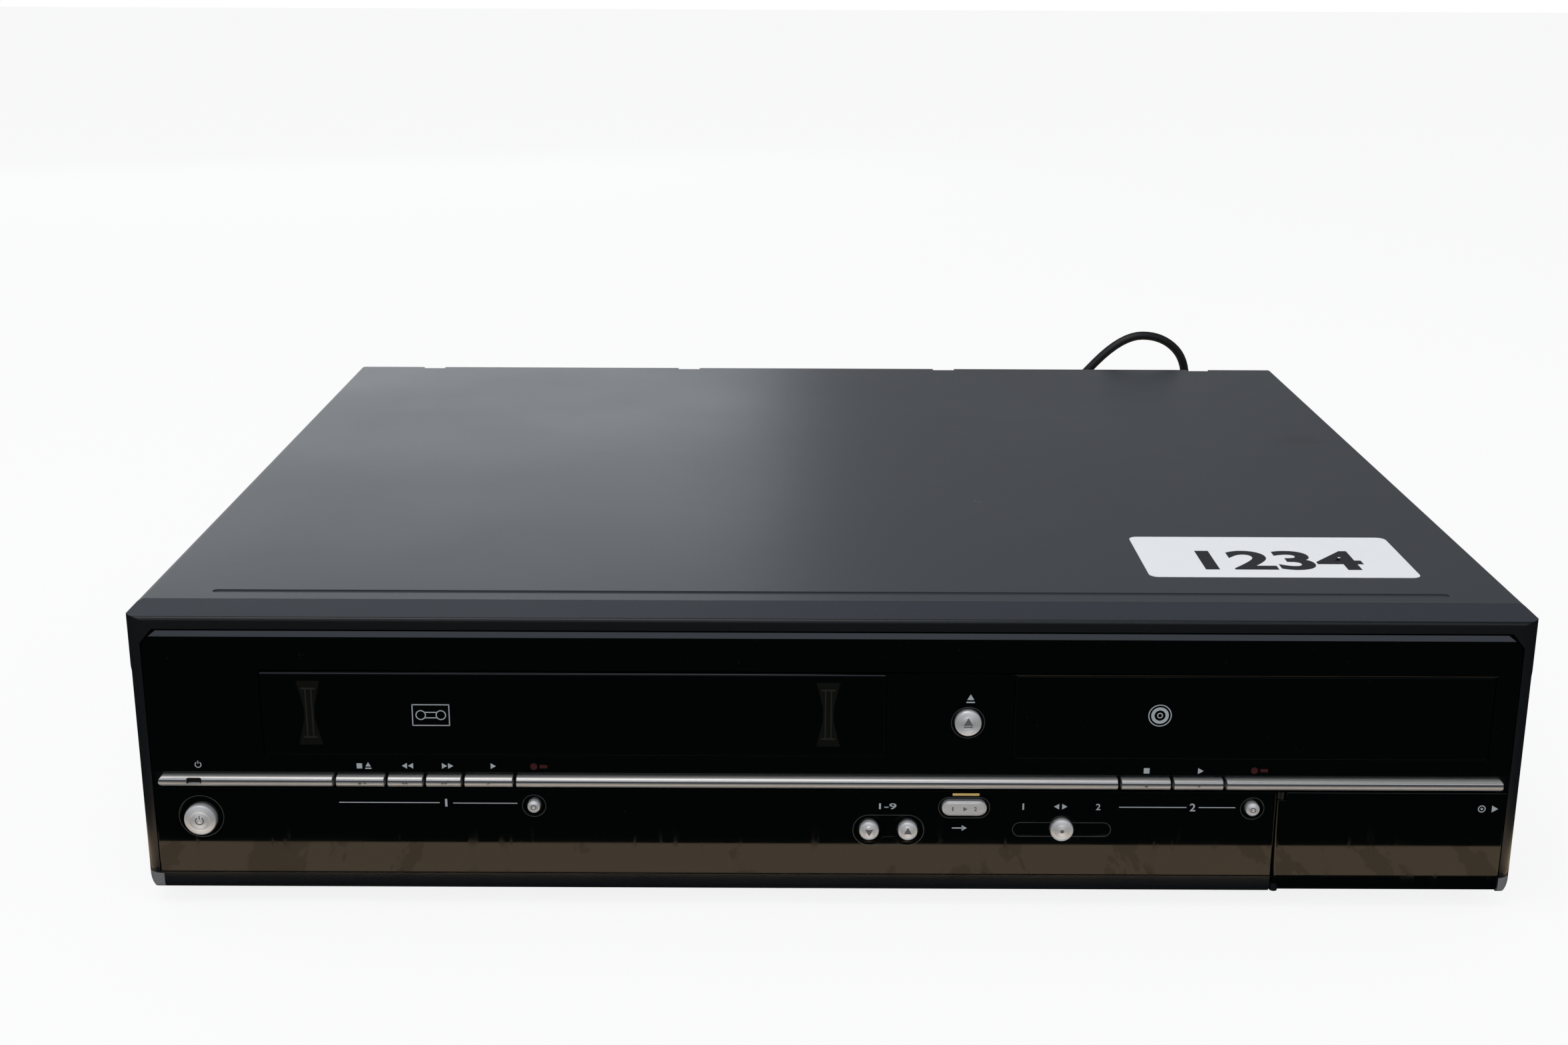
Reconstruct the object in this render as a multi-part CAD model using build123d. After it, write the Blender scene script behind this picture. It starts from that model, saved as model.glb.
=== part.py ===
from build123d import *
import math
import os

# A disc and cassette combo player. Millimetres, +Z up, the front faces -Y and +X is to the right of
# someone who looks at the front. The origin is under the middle of the player, at the feet's soles.

# ---- overall sizes ----
CASE_WIDTH = 430.0
CASE_DEPTH = 340.0
BODY_HEIGHT = 92.0  # underside of the front moulding to the top of the cover
FOOT_HEIGHT = 5.0
FRONT_REACH = 14.0  # front face ahead of the cover's front edge
COVER_SHEET = 0.8
BEND_R = 2.0
PAN_SHEET = 1.0
REAR_SHEET = 1.0
KEY_PROUD = 2.0
SOCKET_REACH = 9.0  # rear sockets behind the rear panel

# ---- front moulding ----
LEDGE_DEPTH = 3.0  # from the front face back to the ledge that the windows sit on
LEDGE = 2.0
BEZEL_WALL = 2.2
BEZEL_TONGUE = 6.0  # the part that slips inside the cover
TONGUE_GAP = 0.25
CAP_OVERHANG = 0.7
CAP_LOW = 73.5
BEZEL_FALL = 1.3  # the top slopes down this much to the front
FRONT_CORNER = 6.0
LOW_CORNER = 4.5
SEAM = 0.35  # gap round doors and panels

# ---- windows and strip, as heights above the front's underside ----
WINDOW_MARGIN = 4.6
LOWER_LOW = 6.0
LOWER_HIGH = 34.5
STRIP_LOW = 35.6
STRIP_HIGH = 39.0
UPPER_LOW = 40.0
CREASE = 73.8
UPPER_HIGH = 86.8
BEVEL_HIGH = 84.2
BAND_LEAN = 0.9
BEVEL_LEAN = 2.2
STRIP_MARGIN = 6.7
KEY_GAP = 1.2
TRIM_LEFT_WIDTH = 53.9
TRIM_RIGHT_WIDTH = 85.5
WIDE_KEY = 14.8
NARROW_KEY = 10.7
DISC_KEY = 15.1
LAMP_MARGIN = 17.8
LAMP_WIDTH = 4.8
LAMP_HEIGHT = 1.7

# ---- doors ----
DOOR_WIDTH = 191.5
DOOR_LOW = 46.0
DOOR_HIGH = 73.4
DOOR_THICK = 2.5
DOOR_PIN_R = 0.8
DOOR_PIN_LONG = 2.0
PIN_GAP = 0.05
TRAY_FRONT_WIDTH = 146.5
SPARE_WIDTH = CASE_WIDTH - DOOR_WIDTH - TRAY_FRONT_WIDTH  # left, between and right of the doors
DOOR_MARGIN = SPARE_WIDTH * 10 / 23  # cassette door's left edge from the side of the case
TRAY_MARGIN = SPARE_WIDTH * 3 / 23  # tray front's right edge from the side of the case
TRAY_FRONT_LOW = 45.5
TRAY_FRONT_HIGH = 72.6
FLAP_WIDTH = 71.4
FLAP_THICK = 2.5
FLAP_LOW = 0.7
KNUCKLE_LOW = 2.6
KNUCKLE_HIGH = 2.4

# ---- round buttons: x, height, radius ----
HALF = CASE_WIDTH / 2
POWER = (-HALF + 18.4, 24.0, 5.0)
TAPE_REC = (-HALF + 122.7, 29.0, 2.0)
PROG_DOWN = (HALF - 202.8, 21.2, 3.05)
PROG_UP = (HALF - 190.7, 21.2, 3.05)
SELECT = (HALF - 142.6, 21.6, 3.6)
DISC_REC = (HALF - 83.5, 29.0, 2.15)
OPEN_CLOSE = (HALF - TRAY_MARGIN - TRAY_FRONT_WIDTH - 14.4, 57.4, 4.1)
DUBBING = (HALF - 173.25, 28.95)
DUBBING_SIZE = (13.9, 4.9)
POWER_DISH = 6.85
REC_DISH = 3.55
PROG_DISH = 4.95
OPEN_DISH = 5.0
SELECT_SLOT = (30.5, 4.5)
DISH_DEPTH = 0.8
BUTTON_PROUD = 1.2
BUTTON_GAP = 0.25
FLANGE_REACH = 1.0
FLANGE_THICK = 1.0
HOOK_GAP = 0.3
KEY_TRAVEL = 0.8
SWITCH_HIGH = 4.0
BOARD = 1.6
BOARD_BACK = 13.0  # front board's front face behind the front face
BOARD_BOSSES = ((-HALF + 55, 14.0), (-HALF + 119, 12.0), (HALF - 163, 11.0), (HALF - 107, 14.0))

# ---- display and front sockets ----
DISPLAY_X = (-HALF + 135, -HALF + 211)
DISPLAY_HEIGHTS = (9.0, 30.0)
TUBE_DEPTH = 6.0
JACK_PITCH = 15.0
JACK_HEIGHT = 18.0
JACK_BARREL_R = 4.15
JACK_BORE_R = 1.6
JACK_FLANGE_R = 5.8

# ---- tape deck ----
DECK_HEIGHT = 20.0
DECK_SHEET = 1.2
DECK_WIDTH = 206.0
DECK_START = 32.0
DECK_DEPTH = 184.0
HOLDER_WIDTH = 193.0
HOLDER_DEPTH = 103.0
HOLDER_START = 31.0
HOLDER_FLOOR = 44.7
HOLDER_INSIDE = 25.6
HOLDER_DROP = 20.0
HOLDER_PIN_R = 1.5
CARRIAGE_HIGH = 80.0
REEL_SPACING = 92.0
REEL_BACK = 84.0
REEL_TABLE_R = 20.0
POST_R = 1.5
DRUM_R = 31.0
DRUM_BACK = 178.0
DRUM_TILT = 6.0
DRUM_LOW_HEIGHT = 14.0
DRUM_UP_HEIGHT = 17.0
DRUM_GAP = 0.3
DRUM_SHAFT_R = 2.5
CAPSTAN = (58.0, 146.0)
CAPSTAN_R = 1.5
FLYWHEEL_R = 27.0
PINCH_PIVOT = (80.0, 170.0)
PINCH_ARM = 30.0
PINCH_ROLLER_R = 5.5
PINCH_SWING = 20.0
GUIDE_X = 42.0
GUIDE_START = 142.0
GUIDE_TRAVEL = 38.0
GUIDE_SLOT = 5.0
SLIDE_GAP = 0.1

# ---- disc drive ----
DRIVE_WIDTH = 146.0
DRIVE_START = 16.0
DRIVE_DEPTH = 188.0
DRIVE_LOW = 36.0
DRIVE_HIGH = 78.0
DRIVE_WALL = 2.0
TRAY_WIDTH = 138.0
TRAY_DEPTH = 185.0
TRAY_TOP = 62.5
TRAY_THICK = 5.0
TRAY_TRAVEL = 140.0
DISC_R = 61.0
SMALL_DISC_R = 41.0
DISC_DISH = 1.6
HUB_SLOT = 19.0
DISC_BACK = 73.0  # disc's centre behind the front face
RACK_X = -42.0
RACK_PITCH = 4.0
RACK_TOOTH = 1.6
GEAR_R = 11.7
GEAR_TEETH = 18
TRAVERSE_BACK = 176.0
TRAVERSE_HEIGHT = 47.0
TRAVERSE_TILT = 6.0
TRAVERSE_WIDTH = 100.0
TRAVERSE_PIN_R = 1.5
TRAVERSE_BELOW = 3.0  # frame's underside, upper edge, rods and motor from the pivot's height
TRAVERSE_ABOVE = 4.0
ROD_ABOVE = 2.0
MOTOR_ABOVE = 3.5
SLED_ABOVE = 6.0
SLED_BELOW = 0.7
TRAVERSE_START = 54.0
SPINDLE_MOTOR_R = 12.0
SPINDLE_R = 1.25
TABLE_TOP = 63.0
TABLE_R = 15.0
ROD_R = 1.5
ROD_X = 22.0
SLED_LONG = 24.0
PUCK_R = 16.0

# ---- boards at the back ----
BOARD_HEIGHT = 8.0
BOARD_START = 222.0
BOARD_MARGIN = 10.0
BOARD_SPACE = 12.0  # between the two boards
POWER_BOARD_WIDTH = 162.0
MAIN_BOARD_WIDTH = CASE_WIDTH - 2 * BOARD_MARGIN - POWER_BOARD_WIDTH - BOARD_SPACE
MAIN_BOARD_END = -HALF + BOARD_MARGIN + MAIN_BOARD_WIDTH

# ---- rear sockets ----
AV_COLUMNS = 4
AV_ROWS = 2
AV_PITCH = 14.0
AV_X = -HALF + 65.0
AV_HEIGHT = 24.0
AERIAL_X = MAIN_BOARD_END - 91.0
AERIAL_PITCH = 20.0
AERIAL_HEIGHT = 30.0
DIGITAL_X = MAIN_BOARD_END - 31.0
DIGITAL_SPACING = 22.0
DIGITAL_PLATE = (52.0, 20.0)  # bracket plate round the digital sockets
DIGITAL_HEIGHT = 18.0

# ---- power cord: a flat two-core lead taken as round ----
CORD_D = 4.0
GLAND_X = 180.0
GLAND_HEIGHT = 48.0
GLAND_LONG = 13.0
COIL_X = 20.0
COIL_BACK = 50.0
COIL_IN_R = 16.6
COIL_PITCH = 5.3
COIL_RISE = 4.7
COIL_LAYERS = 4
LAYER_TURNS = 2
PLUG_LONG = 30.0
PLUG_WIDE = 24.0
PLUG_THICK = 14.0

# ---- fasteners and feet ----
FOOT_R = 11.0
FOOT_X = 172.0
FOOT_FRONT = 45.0
FOOT_REAR = 310.0
SCREW_R = 1.5
SCREW_HEAD_R = 3.0
SCREW_HEAD = 1.8
SIDE_SCREWS = (70.0, 305.0)
SIDE_SCREW_HEIGHT = 9.0
REAR_SCREWS = (-HALF + 25, 0.0, HALF - 25)
NOTCH_MARGIN = 35.0
NOTCH_WIDTH = 10.0
VENT_COLUMNS = (-HALF + 85, -HALF + 175, HALF - 85)
REAR_SCREW_HEIGHT = 86.5

# ---- places worked out from the sizes ----
REAR_PANEL_BACK = FRONT_REACH + CASE_DEPTH - COVER_SHEET
DEPTH = KEY_PROUD + REAR_PANEL_BACK + SOCKET_REACH
FRONT = KEY_PROUD - DEPTH / 2
COVER_FRONT = FRONT + FRONT_REACH
COVER_BACK = COVER_FRONT + CASE_DEPTH
REAR = FRONT + REAR_PANEL_BACK
TOP = FOOT_HEIGHT + BODY_HEIGHT
WINDOW_HALF = HALF - WINDOW_MARGIN
STRIP_HALF = HALF - STRIP_MARGIN
LEDGE_FRONT = FRONT + LEDGE_DEPTH
LEDGE_REAR = LEDGE_FRONT + LEDGE
PAN_FLOOR = 1.2 + PAN_SHEET  # pan's upper face above the front's underside
DOOR_X = (-HALF + DOOR_MARGIN, -HALF + DOOR_MARGIN + DOOR_WIDTH)
DECK_X = (DOOR_X[0] + DOOR_X[1]) / 2
TRAY_X = (HALF - TRAY_MARGIN - TRAY_FRONT_WIDTH, HALF - TRAY_MARGIN)
DRIVE_X = (TRAY_X[0] + TRAY_X[1]) / 2
FLAP_X = (WINDOW_HALF - FLAP_WIDTH, WINDOW_HALF)
FLAP_AXIS = (FLAP_X[0] + FLAP_THICK / 2, FRONT + FLAP_THICK / 2)
DOOR_AXIS_HEIGHT = DOOR_HIGH - DOOR_THICK / 2
BOARD_FRONT = FRONT + BOARD_BACK
PLUNGER_TIP = BOARD_FRONT - SWITCH_HIGH
STEM_END = PLUNGER_TIP - KEY_TRAVEL - 0.05
HOOK_FRONT = LEDGE_REAR + HOOK_GAP


def up(height):
    """A height above the front's underside, in the player's own frame."""
    return FOOT_HEIGHT + height


def back(distance):
    """A distance behind the front face, in the player's own frame."""
    return FRONT + distance


def block(x, y, z):
    """A box between (low, high) pairs."""
    size = [pair[1] - pair[0] for pair in (x, y, z)]
    middle = [(pair[0] + pair[1]) / 2 for pair in (x, y, z)]
    return Pos(*middle) * Box(*size)


def outline(points, radii=0):
    """A closed outline with each corner rounded by its radius."""
    if radii == 0:
        return make_face(Polyline(*points, close=True))
    return make_face(FilletPolyline(*points, radius=radii, close=True))


def rounded(x, z, radius):
    """A rounded rectangle between (low, high) pairs."""
    points = [(x[0], z[0]), (x[1], z[0]), (x[1], z[1]), (x[0], z[1])]
    return outline(points, radius)


def along_x(face, x0, x1):
    """A face drawn in Y and Z, drawn out from x0 to x1."""
    return extrude(Plane.YZ.offset(x0) * face, x1 - x0)


def along_y(face, y0, y1):
    """A face drawn in X and Z, drawn out from y0 to y1."""
    return extrude(Plane.XZ.offset(-y1) * face, y1 - y0)


def along_z(face, z0, z1):
    """A face drawn in X and Y, drawn out from z0 to z1."""
    return extrude(Plane.XY.offset(z0) * face, z1 - z0)


def rod_y(x, z, radius, y0, y1):
    return along_y(Pos(x, z) * Circle(radius), y0, y1)


def rod_z(x, y, radius, z0, z1):
    return along_z(Pos(x, y) * Circle(radius), z0, z1)


def rod_x(y, z, radius, x0, x1):
    return along_x(Pos(y, z) * Circle(radius), x0, x1)


def turned(profile, place):
    """A profile of (radius, height) points, turned about Z and set at a place."""
    face = Plane.XZ * make_face(Polyline(*profile, close=True))
    return place * revolve(face, Axis.Z)


def turned_y(profile, x, z):
    """A profile of (radius, y) points, turned about a line along Y through x and z."""
    face = make_face(Polyline(*profile, close=True))
    return Pos(x, 0, z) * revolve(face, Axis.Y)


def join(solids):
    total = None
    for solid in solids:
        total = solid if total is None else total + solid
    return total


def save(node, shape):
    export_step(shape, f"parts/{node}.step")


# ---- base pan, rear panel, cover ----
def sheet_outline(half, low, high):
    """Front view of what slips inside the cover, its top corners rounded like the cover's bends."""
    points = [(-half, low), (half, low), (half, high), (-half, high)]
    return outline(points, [0.1, 0.1, BEND_R, BEND_R])


def base_pan():
    """Pressed steel tray with turned-up edges, standoffs for the boards and rows of vents."""
    low = up(PAN_FLOOR - PAN_SHEET)
    floor = up(PAN_FLOOR)
    side = HALF - COVER_SHEET - 0.2
    front = back(FRONT_REACH + BEZEL_TONGUE + 0.3)
    rear = REAR - REAR_SHEET
    pan = block((-side, side), (front, rear), (low, floor))
    edge_high = up(PAN_FLOOR + 12)
    for sign in (-1, 1):
        x = sorted((sign * side, sign * (side - PAN_SHEET)))
        pan += block(x, (front, rear), (low, edge_high))
    pan += block((-side, side), (front, front + PAN_SHEET), (low, edge_high))
    pan += block((-side, side), (rear - PAN_SHEET, rear), (low, up(BOARD_HEIGHT - 2)))
    for x, y in board_posts():
        pan += rod_z(x, y, 3.5, floor, up(BOARD_HEIGHT))
    slots = [
        block((x - 12, x + 12), (y - 1.25, y + 1.25), (low - 1, floor + 1))
        for x in VENT_COLUMNS
        for y in [back(235 + 9 * i) for i in range(6)]
    ]
    for y in (FOOT_FRONT, FOOT_REAR):
        for sign in (-1, 1):
            slots.append(rod_z(sign * FOOT_X, back(y), SCREW_R + 0.1, low - 1, floor + 1))
    for y in SIDE_SCREWS:
        slots.append(rod_x(back(y), up(SIDE_SCREW_HEIGHT), SCREW_R + 0.05, -HALF, HALF))
    return pan - slots


def main_board_x():
    return (-HALF + BOARD_MARGIN, MAIN_BOARD_END)


def power_board_x():
    return (HALF - BOARD_MARGIN - POWER_BOARD_WIDTH, HALF - BOARD_MARGIN)


def board_posts():
    """Places of the standoffs under the two boards at the back."""
    y0, y1 = back(BOARD_START + 8), REAR - REAR_SHEET - 14
    return [
        (x, y)
        for pair in (main_board_x(), power_board_x())
        for x in (pair[0] + 8, pair[1] - 8)
        for y in (y0, y1)
    ]


def rear_panel():
    """Sheet that closes the back, cut out for the sockets, with rows of vent slots."""
    side = HALF - COVER_SHEET - 0.2
    y = (REAR - REAR_SHEET, REAR)
    view = sheet_outline(side, up(PAN_FLOOR - PAN_SHEET), TOP - COVER_SHEET - 0.2)
    panel = along_y(view, *y)
    cut_y = (y[0] - 1, y[1] + 1)
    cuts = []
    for x, z in av_places():
        cuts.append(rod_y(x, z, JACK_FLANGE_R + 0.2, *cut_y))
    for i in range(2):
        x = AERIAL_X + AERIAL_PITCH * i
        cuts.append(rod_y(x, up(AERIAL_HEIGHT), 5.2, *cut_y))
    cuts.append(along_y(digital_plate_view(-3.0), *cut_y))
    cuts.append(rod_y(GLAND_X, up(GLAND_HEIGHT), 5.1, *cut_y))
    for i in range(14):
        x = 60 + 7 * i
        cuts.append(block((x - 1.25, x + 1.25), cut_y, (up(62), up(80))))
    for x in REAR_SCREWS:
        cuts.append(rod_y(x, up(REAR_SCREW_HEIGHT), SCREW_R + 0.05, *cut_y))
    return panel - cuts


def top_cover():
    """Painted steel sheet bent over the top and both sides, with a lip down the back."""
    outer = sheet_outline(HALF, up(1.5), TOP)
    inside = HALF - COVER_SHEET
    points = [(-inside, 0), (inside, 0), (inside, TOP - COVER_SHEET), (-inside, TOP - COVER_SHEET)]
    bend = BEND_R - COVER_SHEET
    inner = outline(points, [0.1, 0.1, bend, bend])
    cover = along_y(outer, COVER_FRONT, COVER_BACK) - along_y(
        inner, COVER_FRONT - 1, COVER_BACK + 1
    )
    lip_low = up(82.5)
    cover += block(
        (-inside + 3, inside - 3), (COVER_BACK - COVER_SHEET, COVER_BACK), (lip_low, TOP - 0.1)
    )
    bead = along_z(
        rounded((-HALF + 21.5, HALF - 21.5), (COVER_FRONT + 6, COVER_FRONT + 9), 1.4),
        TOP - 0.35,
        TOP + 1,
    )
    cuts = [bead]
    notch = NOTCH_WIDTH / 2
    for i in range(4):
        x = (HALF - NOTCH_MARGIN) * (i - 1.5) / 1.5
        notch_y = (COVER_BACK - 2.5, COVER_BACK + 1)
        cuts.append(block((x - notch, x + notch), notch_y, (TOP - 3, TOP + 1)))
    for x in REAR_SCREWS:
        cuts.append(
            rod_y(x, up(REAR_SCREW_HEIGHT), SCREW_R + 0.05, COVER_BACK - 2, COVER_BACK + 1)
        )
    for y in SIDE_SCREWS:
        cuts.append(rod_x(back(y), up(SIDE_SCREW_HEIGHT), SCREW_R + 0.05, -HALF - 1, HALF + 1))
    for i in range(10):
        y = back(230 + 7 * i)
        slot = rounded((y - 1.25, y + 1.25), (up(30), up(62)), 1.2)
        cuts.append(along_x(slot, -HALF - 1, HALF + 1))
    return cover - cuts


# ---- front moulding ----
def bezel_outer():
    low_half = HALF - 0.3
    cap_half = HALF + CAP_OVERHANG
    front_view = outline(
        [
            (-low_half, up(0)),
            (low_half, up(0)),
            (low_half, up(CAP_LOW - 1)),
            (cap_half, up(CAP_LOW + 1.2)),
            (cap_half, TOP),
            (-cap_half, TOP),
            (-cap_half, up(CAP_LOW + 1.2)),
            (-low_half, up(CAP_LOW - 1)),
        ],
        [LOW_CORNER, LOW_CORNER, 1.2, 1.2, 3.0, 3.0, 1.2, 1.2],
    )
    plan = outline(
        [
            (-cap_half, FRONT),
            (cap_half, FRONT),
            (cap_half, COVER_FRONT),
            (-cap_half, COVER_FRONT),
        ],
        [FRONT_CORNER, FRONT_CORNER, 0.2, 0.2],
    )
    side_view = outline(
        [
            (FRONT, up(0)),
            (COVER_FRONT, up(0)),
            (COVER_FRONT, TOP),
            (FRONT + 0.4, TOP - BEZEL_FALL),
            (FRONT, TOP - BEZEL_FALL - 1),
        ],
        [2.6, 0.2, 0.2, 0.9, 0.9],
    )
    body = along_y(front_view, FRONT, COVER_FRONT)
    body &= along_z(plan, 0, TOP + 1)
    return body & along_x(side_view, -HALF - 5, HALF + 5)


def flap_pocket():
    """Space in the front moulding that the socket flap fills, down through the lower lip."""
    x = (FLAP_X[0] - SEAM, FLAP_X[1] + SEAM)
    return block(x, (FRONT - 1, LEDGE_FRONT), (up(-1), up(LOWER_HIGH + 0.1)))


def front_bezel():
    """Black moulding that frames the windows, with a ledge behind them and bosses for the board."""
    bezel = bezel_outer()
    inside = HALF - COVER_SHEET - TONGUE_GAP
    tongue = sheet_outline(inside, up(0.3), TOP - COVER_SHEET - TONGUE_GAP)
    bezel += along_y(tongue, COVER_FRONT, COVER_FRONT + BEZEL_TONGUE)
    hollow_x = inside - BEZEL_WALL
    bezel -= block(
        (-hollow_x, hollow_x),
        (LEDGE_REAR, COVER_FRONT + BEZEL_TONGUE + 1),
        (up(BEZEL_WALL), TOP - COVER_SHEET - TONGUE_GAP - BEZEL_WALL),
    )
    recess = outline(window_points(WINDOW_HALF + SEAM, LOWER_LOW - 0.1, UPPER_HIGH + 0.15))
    bezel -= along_y(recess, FRONT - 1, LEDGE_FRONT)
    bezel -= flap_pocket()
    door_hole = block(
        (DOOR_X[0] - SEAM, DOOR_X[1] + SEAM),
        (FRONT, LEDGE_REAR + 1),
        (up(DOOR_LOW - SEAM), up(DOOR_HIGH + SEAM)),
    )
    tray_hole = block(
        (TRAY_X[0] + 1.2, TRAY_X[1] - 1.2),
        (FRONT, LEDGE_REAR + 1),
        (up(TRAY_FRONT_LOW + 1.2), up(TRAY_FRONT_HIGH - 1.2)),
    )
    display_hole = block(
        DISPLAY_X, (FRONT, LEDGE_REAR + 1), (up(DISPLAY_HEIGHTS[0]), up(DISPLAY_HEIGHTS[1]))
    )
    jack_hole = block(
        (FLAP_X[0] + 8, FLAP_X[1] - 4), (FRONT, LEDGE_REAR + 1), (up(LOWER_LOW + 3), up(30))
    )
    cuts = [door_hole, tray_hole, display_hole, jack_hole]
    for x, height, radius in round_buttons().values():
        cuts.append(rod_y(x, up(height), radius + BUTTON_GAP, FRONT, LEDGE_REAR + 1))
    cuts.append(along_y(dubbing_face(BUTTON_GAP), FRONT, LEDGE_REAR + 1))
    for x in keys().values():
        cuts.append(along_y(key_slot(x, SLIDE_GAP), FRONT, LEDGE_REAR + 1))
    bezel -= cuts
    for x, height in BOARD_BOSSES:
        bezel += rod_y(x, up(height), 3.0, LEDGE_REAR, BOARD_FRONT)
    return bezel + hinge_knuckles()


def hinge_knuckles():
    """The two ears that the flap's pins turn in."""
    x, y = FLAP_AXIS
    radius = FLAP_THICK / 2
    spans = (
        (up(FLAP_LOW), up(FLAP_LOW + KNUCKLE_LOW)),
        (up(LOWER_HIGH - KNUCKLE_HIGH), up(LOWER_HIGH)),
    )
    ears = []
    for z0, z1 in spans:
        ear = rod_z(x, y, radius, z0, z1)
        ear += block((x - 0.9, x + 0.9), (y, LEDGE_REAR), (z0, z1))
        ears.append(ear - rod_z(x, y, DOOR_PIN_R + PIN_GAP, z0 - 1, z1 + 1))
    return join(ears)


def window_points(half, low, high):
    """Front view of the framed area, with its top corners cut away."""
    return [
        (-half, up(low)),
        (half, up(low)),
        (half, up(high - 4.8)),
        (half - 3.9, up(high)),
        (-half + 3.9, up(high)),
        (-half, up(high - 4.8)),
    ]


def upper_window():
    """Gloss black panel whose top band leans back, with the door, tray and button openings."""
    face = outline(window_points(WINDOW_HALF, UPPER_LOW, UPPER_HIGH))
    section = outline(
        [
            (FRONT, up(UPPER_LOW)),
            (LEDGE_FRONT, up(UPPER_LOW)),
            (LEDGE_FRONT, up(UPPER_HIGH)),
            (FRONT + BEVEL_LEAN, up(UPPER_HIGH)),
            (FRONT + BAND_LEAN, up(BEVEL_HIGH)),
            (FRONT, up(CREASE)),
        ]
    )
    window = along_y(face, FRONT, LEDGE_FRONT) & along_x(section, -HALF, HALF)
    y = (FRONT - 1, LEDGE_FRONT + 1)
    window -= block(
        (DOOR_X[0] - SEAM, DOOR_X[1] + SEAM), y, (up(DOOR_LOW - SEAM), up(DOOR_HIGH + SEAM))
    )
    window -= block(
        (TRAY_X[0] - SEAM, TRAY_X[1] + SEAM),
        y,
        (up(TRAY_FRONT_LOW - SEAM), up(TRAY_FRONT_HIGH + SEAM)),
    )
    x, height, radius = OPEN_CLOSE
    window -= rod_y(x, up(height), radius + BUTTON_GAP, *y)
    window -= rod_y(x, up(height), OPEN_DISH, FRONT - 1, FRONT + DISH_DEPTH)
    for x0, sign in ((DOOR_X[0] - SEAM, -1), (DOOR_X[1] + SEAM, 1)):
        ends = sorted((x0 - sign, x0 + sign * (DOOR_PIN_LONG + 0.1)))
        axis_y = FRONT + DOOR_THICK / 2
        window -= rod_x(axis_y, up(DOOR_AXIS_HEIGHT), DOOR_PIN_R + PIN_GAP, *ends)
    return window


def dubbing_face(grow):
    """Front view of the long button, made larger all round by grow."""
    x, height = DUBBING
    wide, high = DUBBING_SIZE
    return Pos(x, up(height)) * SlotOverall(wide + 2 * grow, high + 2 * grow)


def lower_window():
    """Gloss black panel with dished places round its buttons."""
    x = (-WINDOW_HALF, FLAP_X[0] - SEAM)
    window = block(x, (FRONT, LEDGE_FRONT), (up(LOWER_LOW), up(LOWER_HIGH)))
    dish = (FRONT - 1, FRONT + DISH_DEPTH)
    through = (FRONT - 1, LEDGE_FRONT + 1)
    cuts = []
    for name, (x, height, radius) in round_buttons().items():
        if name != "open_close_button":
            cuts.append(rod_y(x, up(height), radius + BUTTON_GAP, *through))
    cuts.append(along_y(dubbing_face(BUTTON_GAP), *through))
    cuts.append(along_y(dubbing_face(0.9), *dish))
    cuts.append(rod_y(POWER[0] + 0.3, up(POWER[1] + 1), POWER_DISH, *dish))
    for x, height, _ in (TAPE_REC, DISC_REC):
        cuts.append(rod_y(x, up(height), REC_DISH, *dish))
    for x, height, _ in (PROG_DOWN, PROG_UP):
        cuts.append(rod_y(x, up(height), PROG_DISH, *dish))
    cuts.append(
        block(
            (PROG_DOWN[0], PROG_UP[0]), dish, (up(PROG_DOWN[1] - 2.6), up(PROG_DOWN[1] + 2.6))
        )
    )
    cuts.append(along_y(Pos(SELECT[0], up(SELECT[1])) * SlotOverall(*SELECT_SLOT), *dish))
    cuts.append(rod_y(SELECT[0], up(SELECT[1]), SELECT[2] + 1.0, *dish))
    return window - cuts


# ---- the silver strip: three trims and six keys ----
def strip_section(back_y):
    """Side view of the rounded bar, from its crown back to back_y."""
    low, high = up(STRIP_LOW), up(STRIP_HIGH)
    shoulder = FRONT - 0.4
    crown = FRONT - KEY_PROUD
    edges = [
        Line((back_y, low), (shoulder, low)),
        ThreePointArc((shoulder, low), (crown, (low + high) / 2), (shoulder, high)),
        Line((shoulder, high), (back_y, high)),
        Line((back_y, high), (back_y, low)),
    ]
    return make_face(edges)


def keys():
    """Where each key of the strip starts and ends in x."""
    found = {}
    x = -STRIP_HALF + TRIM_LEFT_WIDTH + KEY_GAP
    tape_keys = (
        ("vcr_stop_key", WIDE_KEY),
        ("vcr_rewind_key", NARROW_KEY),
        ("vcr_forward_key", NARROW_KEY),
        ("vcr_play_key", WIDE_KEY),
    )
    for name, wide in tape_keys:
        found[name] = (x, x + wide)
        x += wide + KEY_GAP
    x = STRIP_HALF - TRIM_RIGHT_WIDTH - KEY_GAP
    for name in ("dvd_play_key", "dvd_stop_key"):
        found[name] = (x - DISC_KEY, x)
        x -= DISC_KEY + KEY_GAP
    return found


def key_slot(x, grow):
    """Front view of a key's stem, made larger by grow."""
    middle = (x[0] + x[1]) / 2
    half = (x[1] - x[0]) / 2 - 1.8 + grow
    z = up((STRIP_LOW + STRIP_HIGH) / 2)
    return rounded((middle - half, middle + half), (z - 1.2 - grow, z + 1.2 + grow), 0.4)


def strip_key(x):
    """A silver bar with a stem through the ledge, a hook plate behind it and a pusher."""
    bar = along_x(strip_section(LEDGE_FRONT - KEY_TRAVEL - 0.3), *x)
    stem = along_y(key_slot(x, 0), FRONT, HOOK_FRONT + FLANGE_THICK)
    z = up((STRIP_LOW + STRIP_HIGH) / 2)
    hook = block(
        (x[0] + 1.2, x[1] - 1.2), (HOOK_FRONT, HOOK_FRONT + FLANGE_THICK), (z - 2.3, z + 2.3)
    )
    middle = (x[0] + x[1]) / 2
    return bar + stem + hook + rod_y(middle, z, 1.1, HOOK_FRONT, STEM_END)


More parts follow.
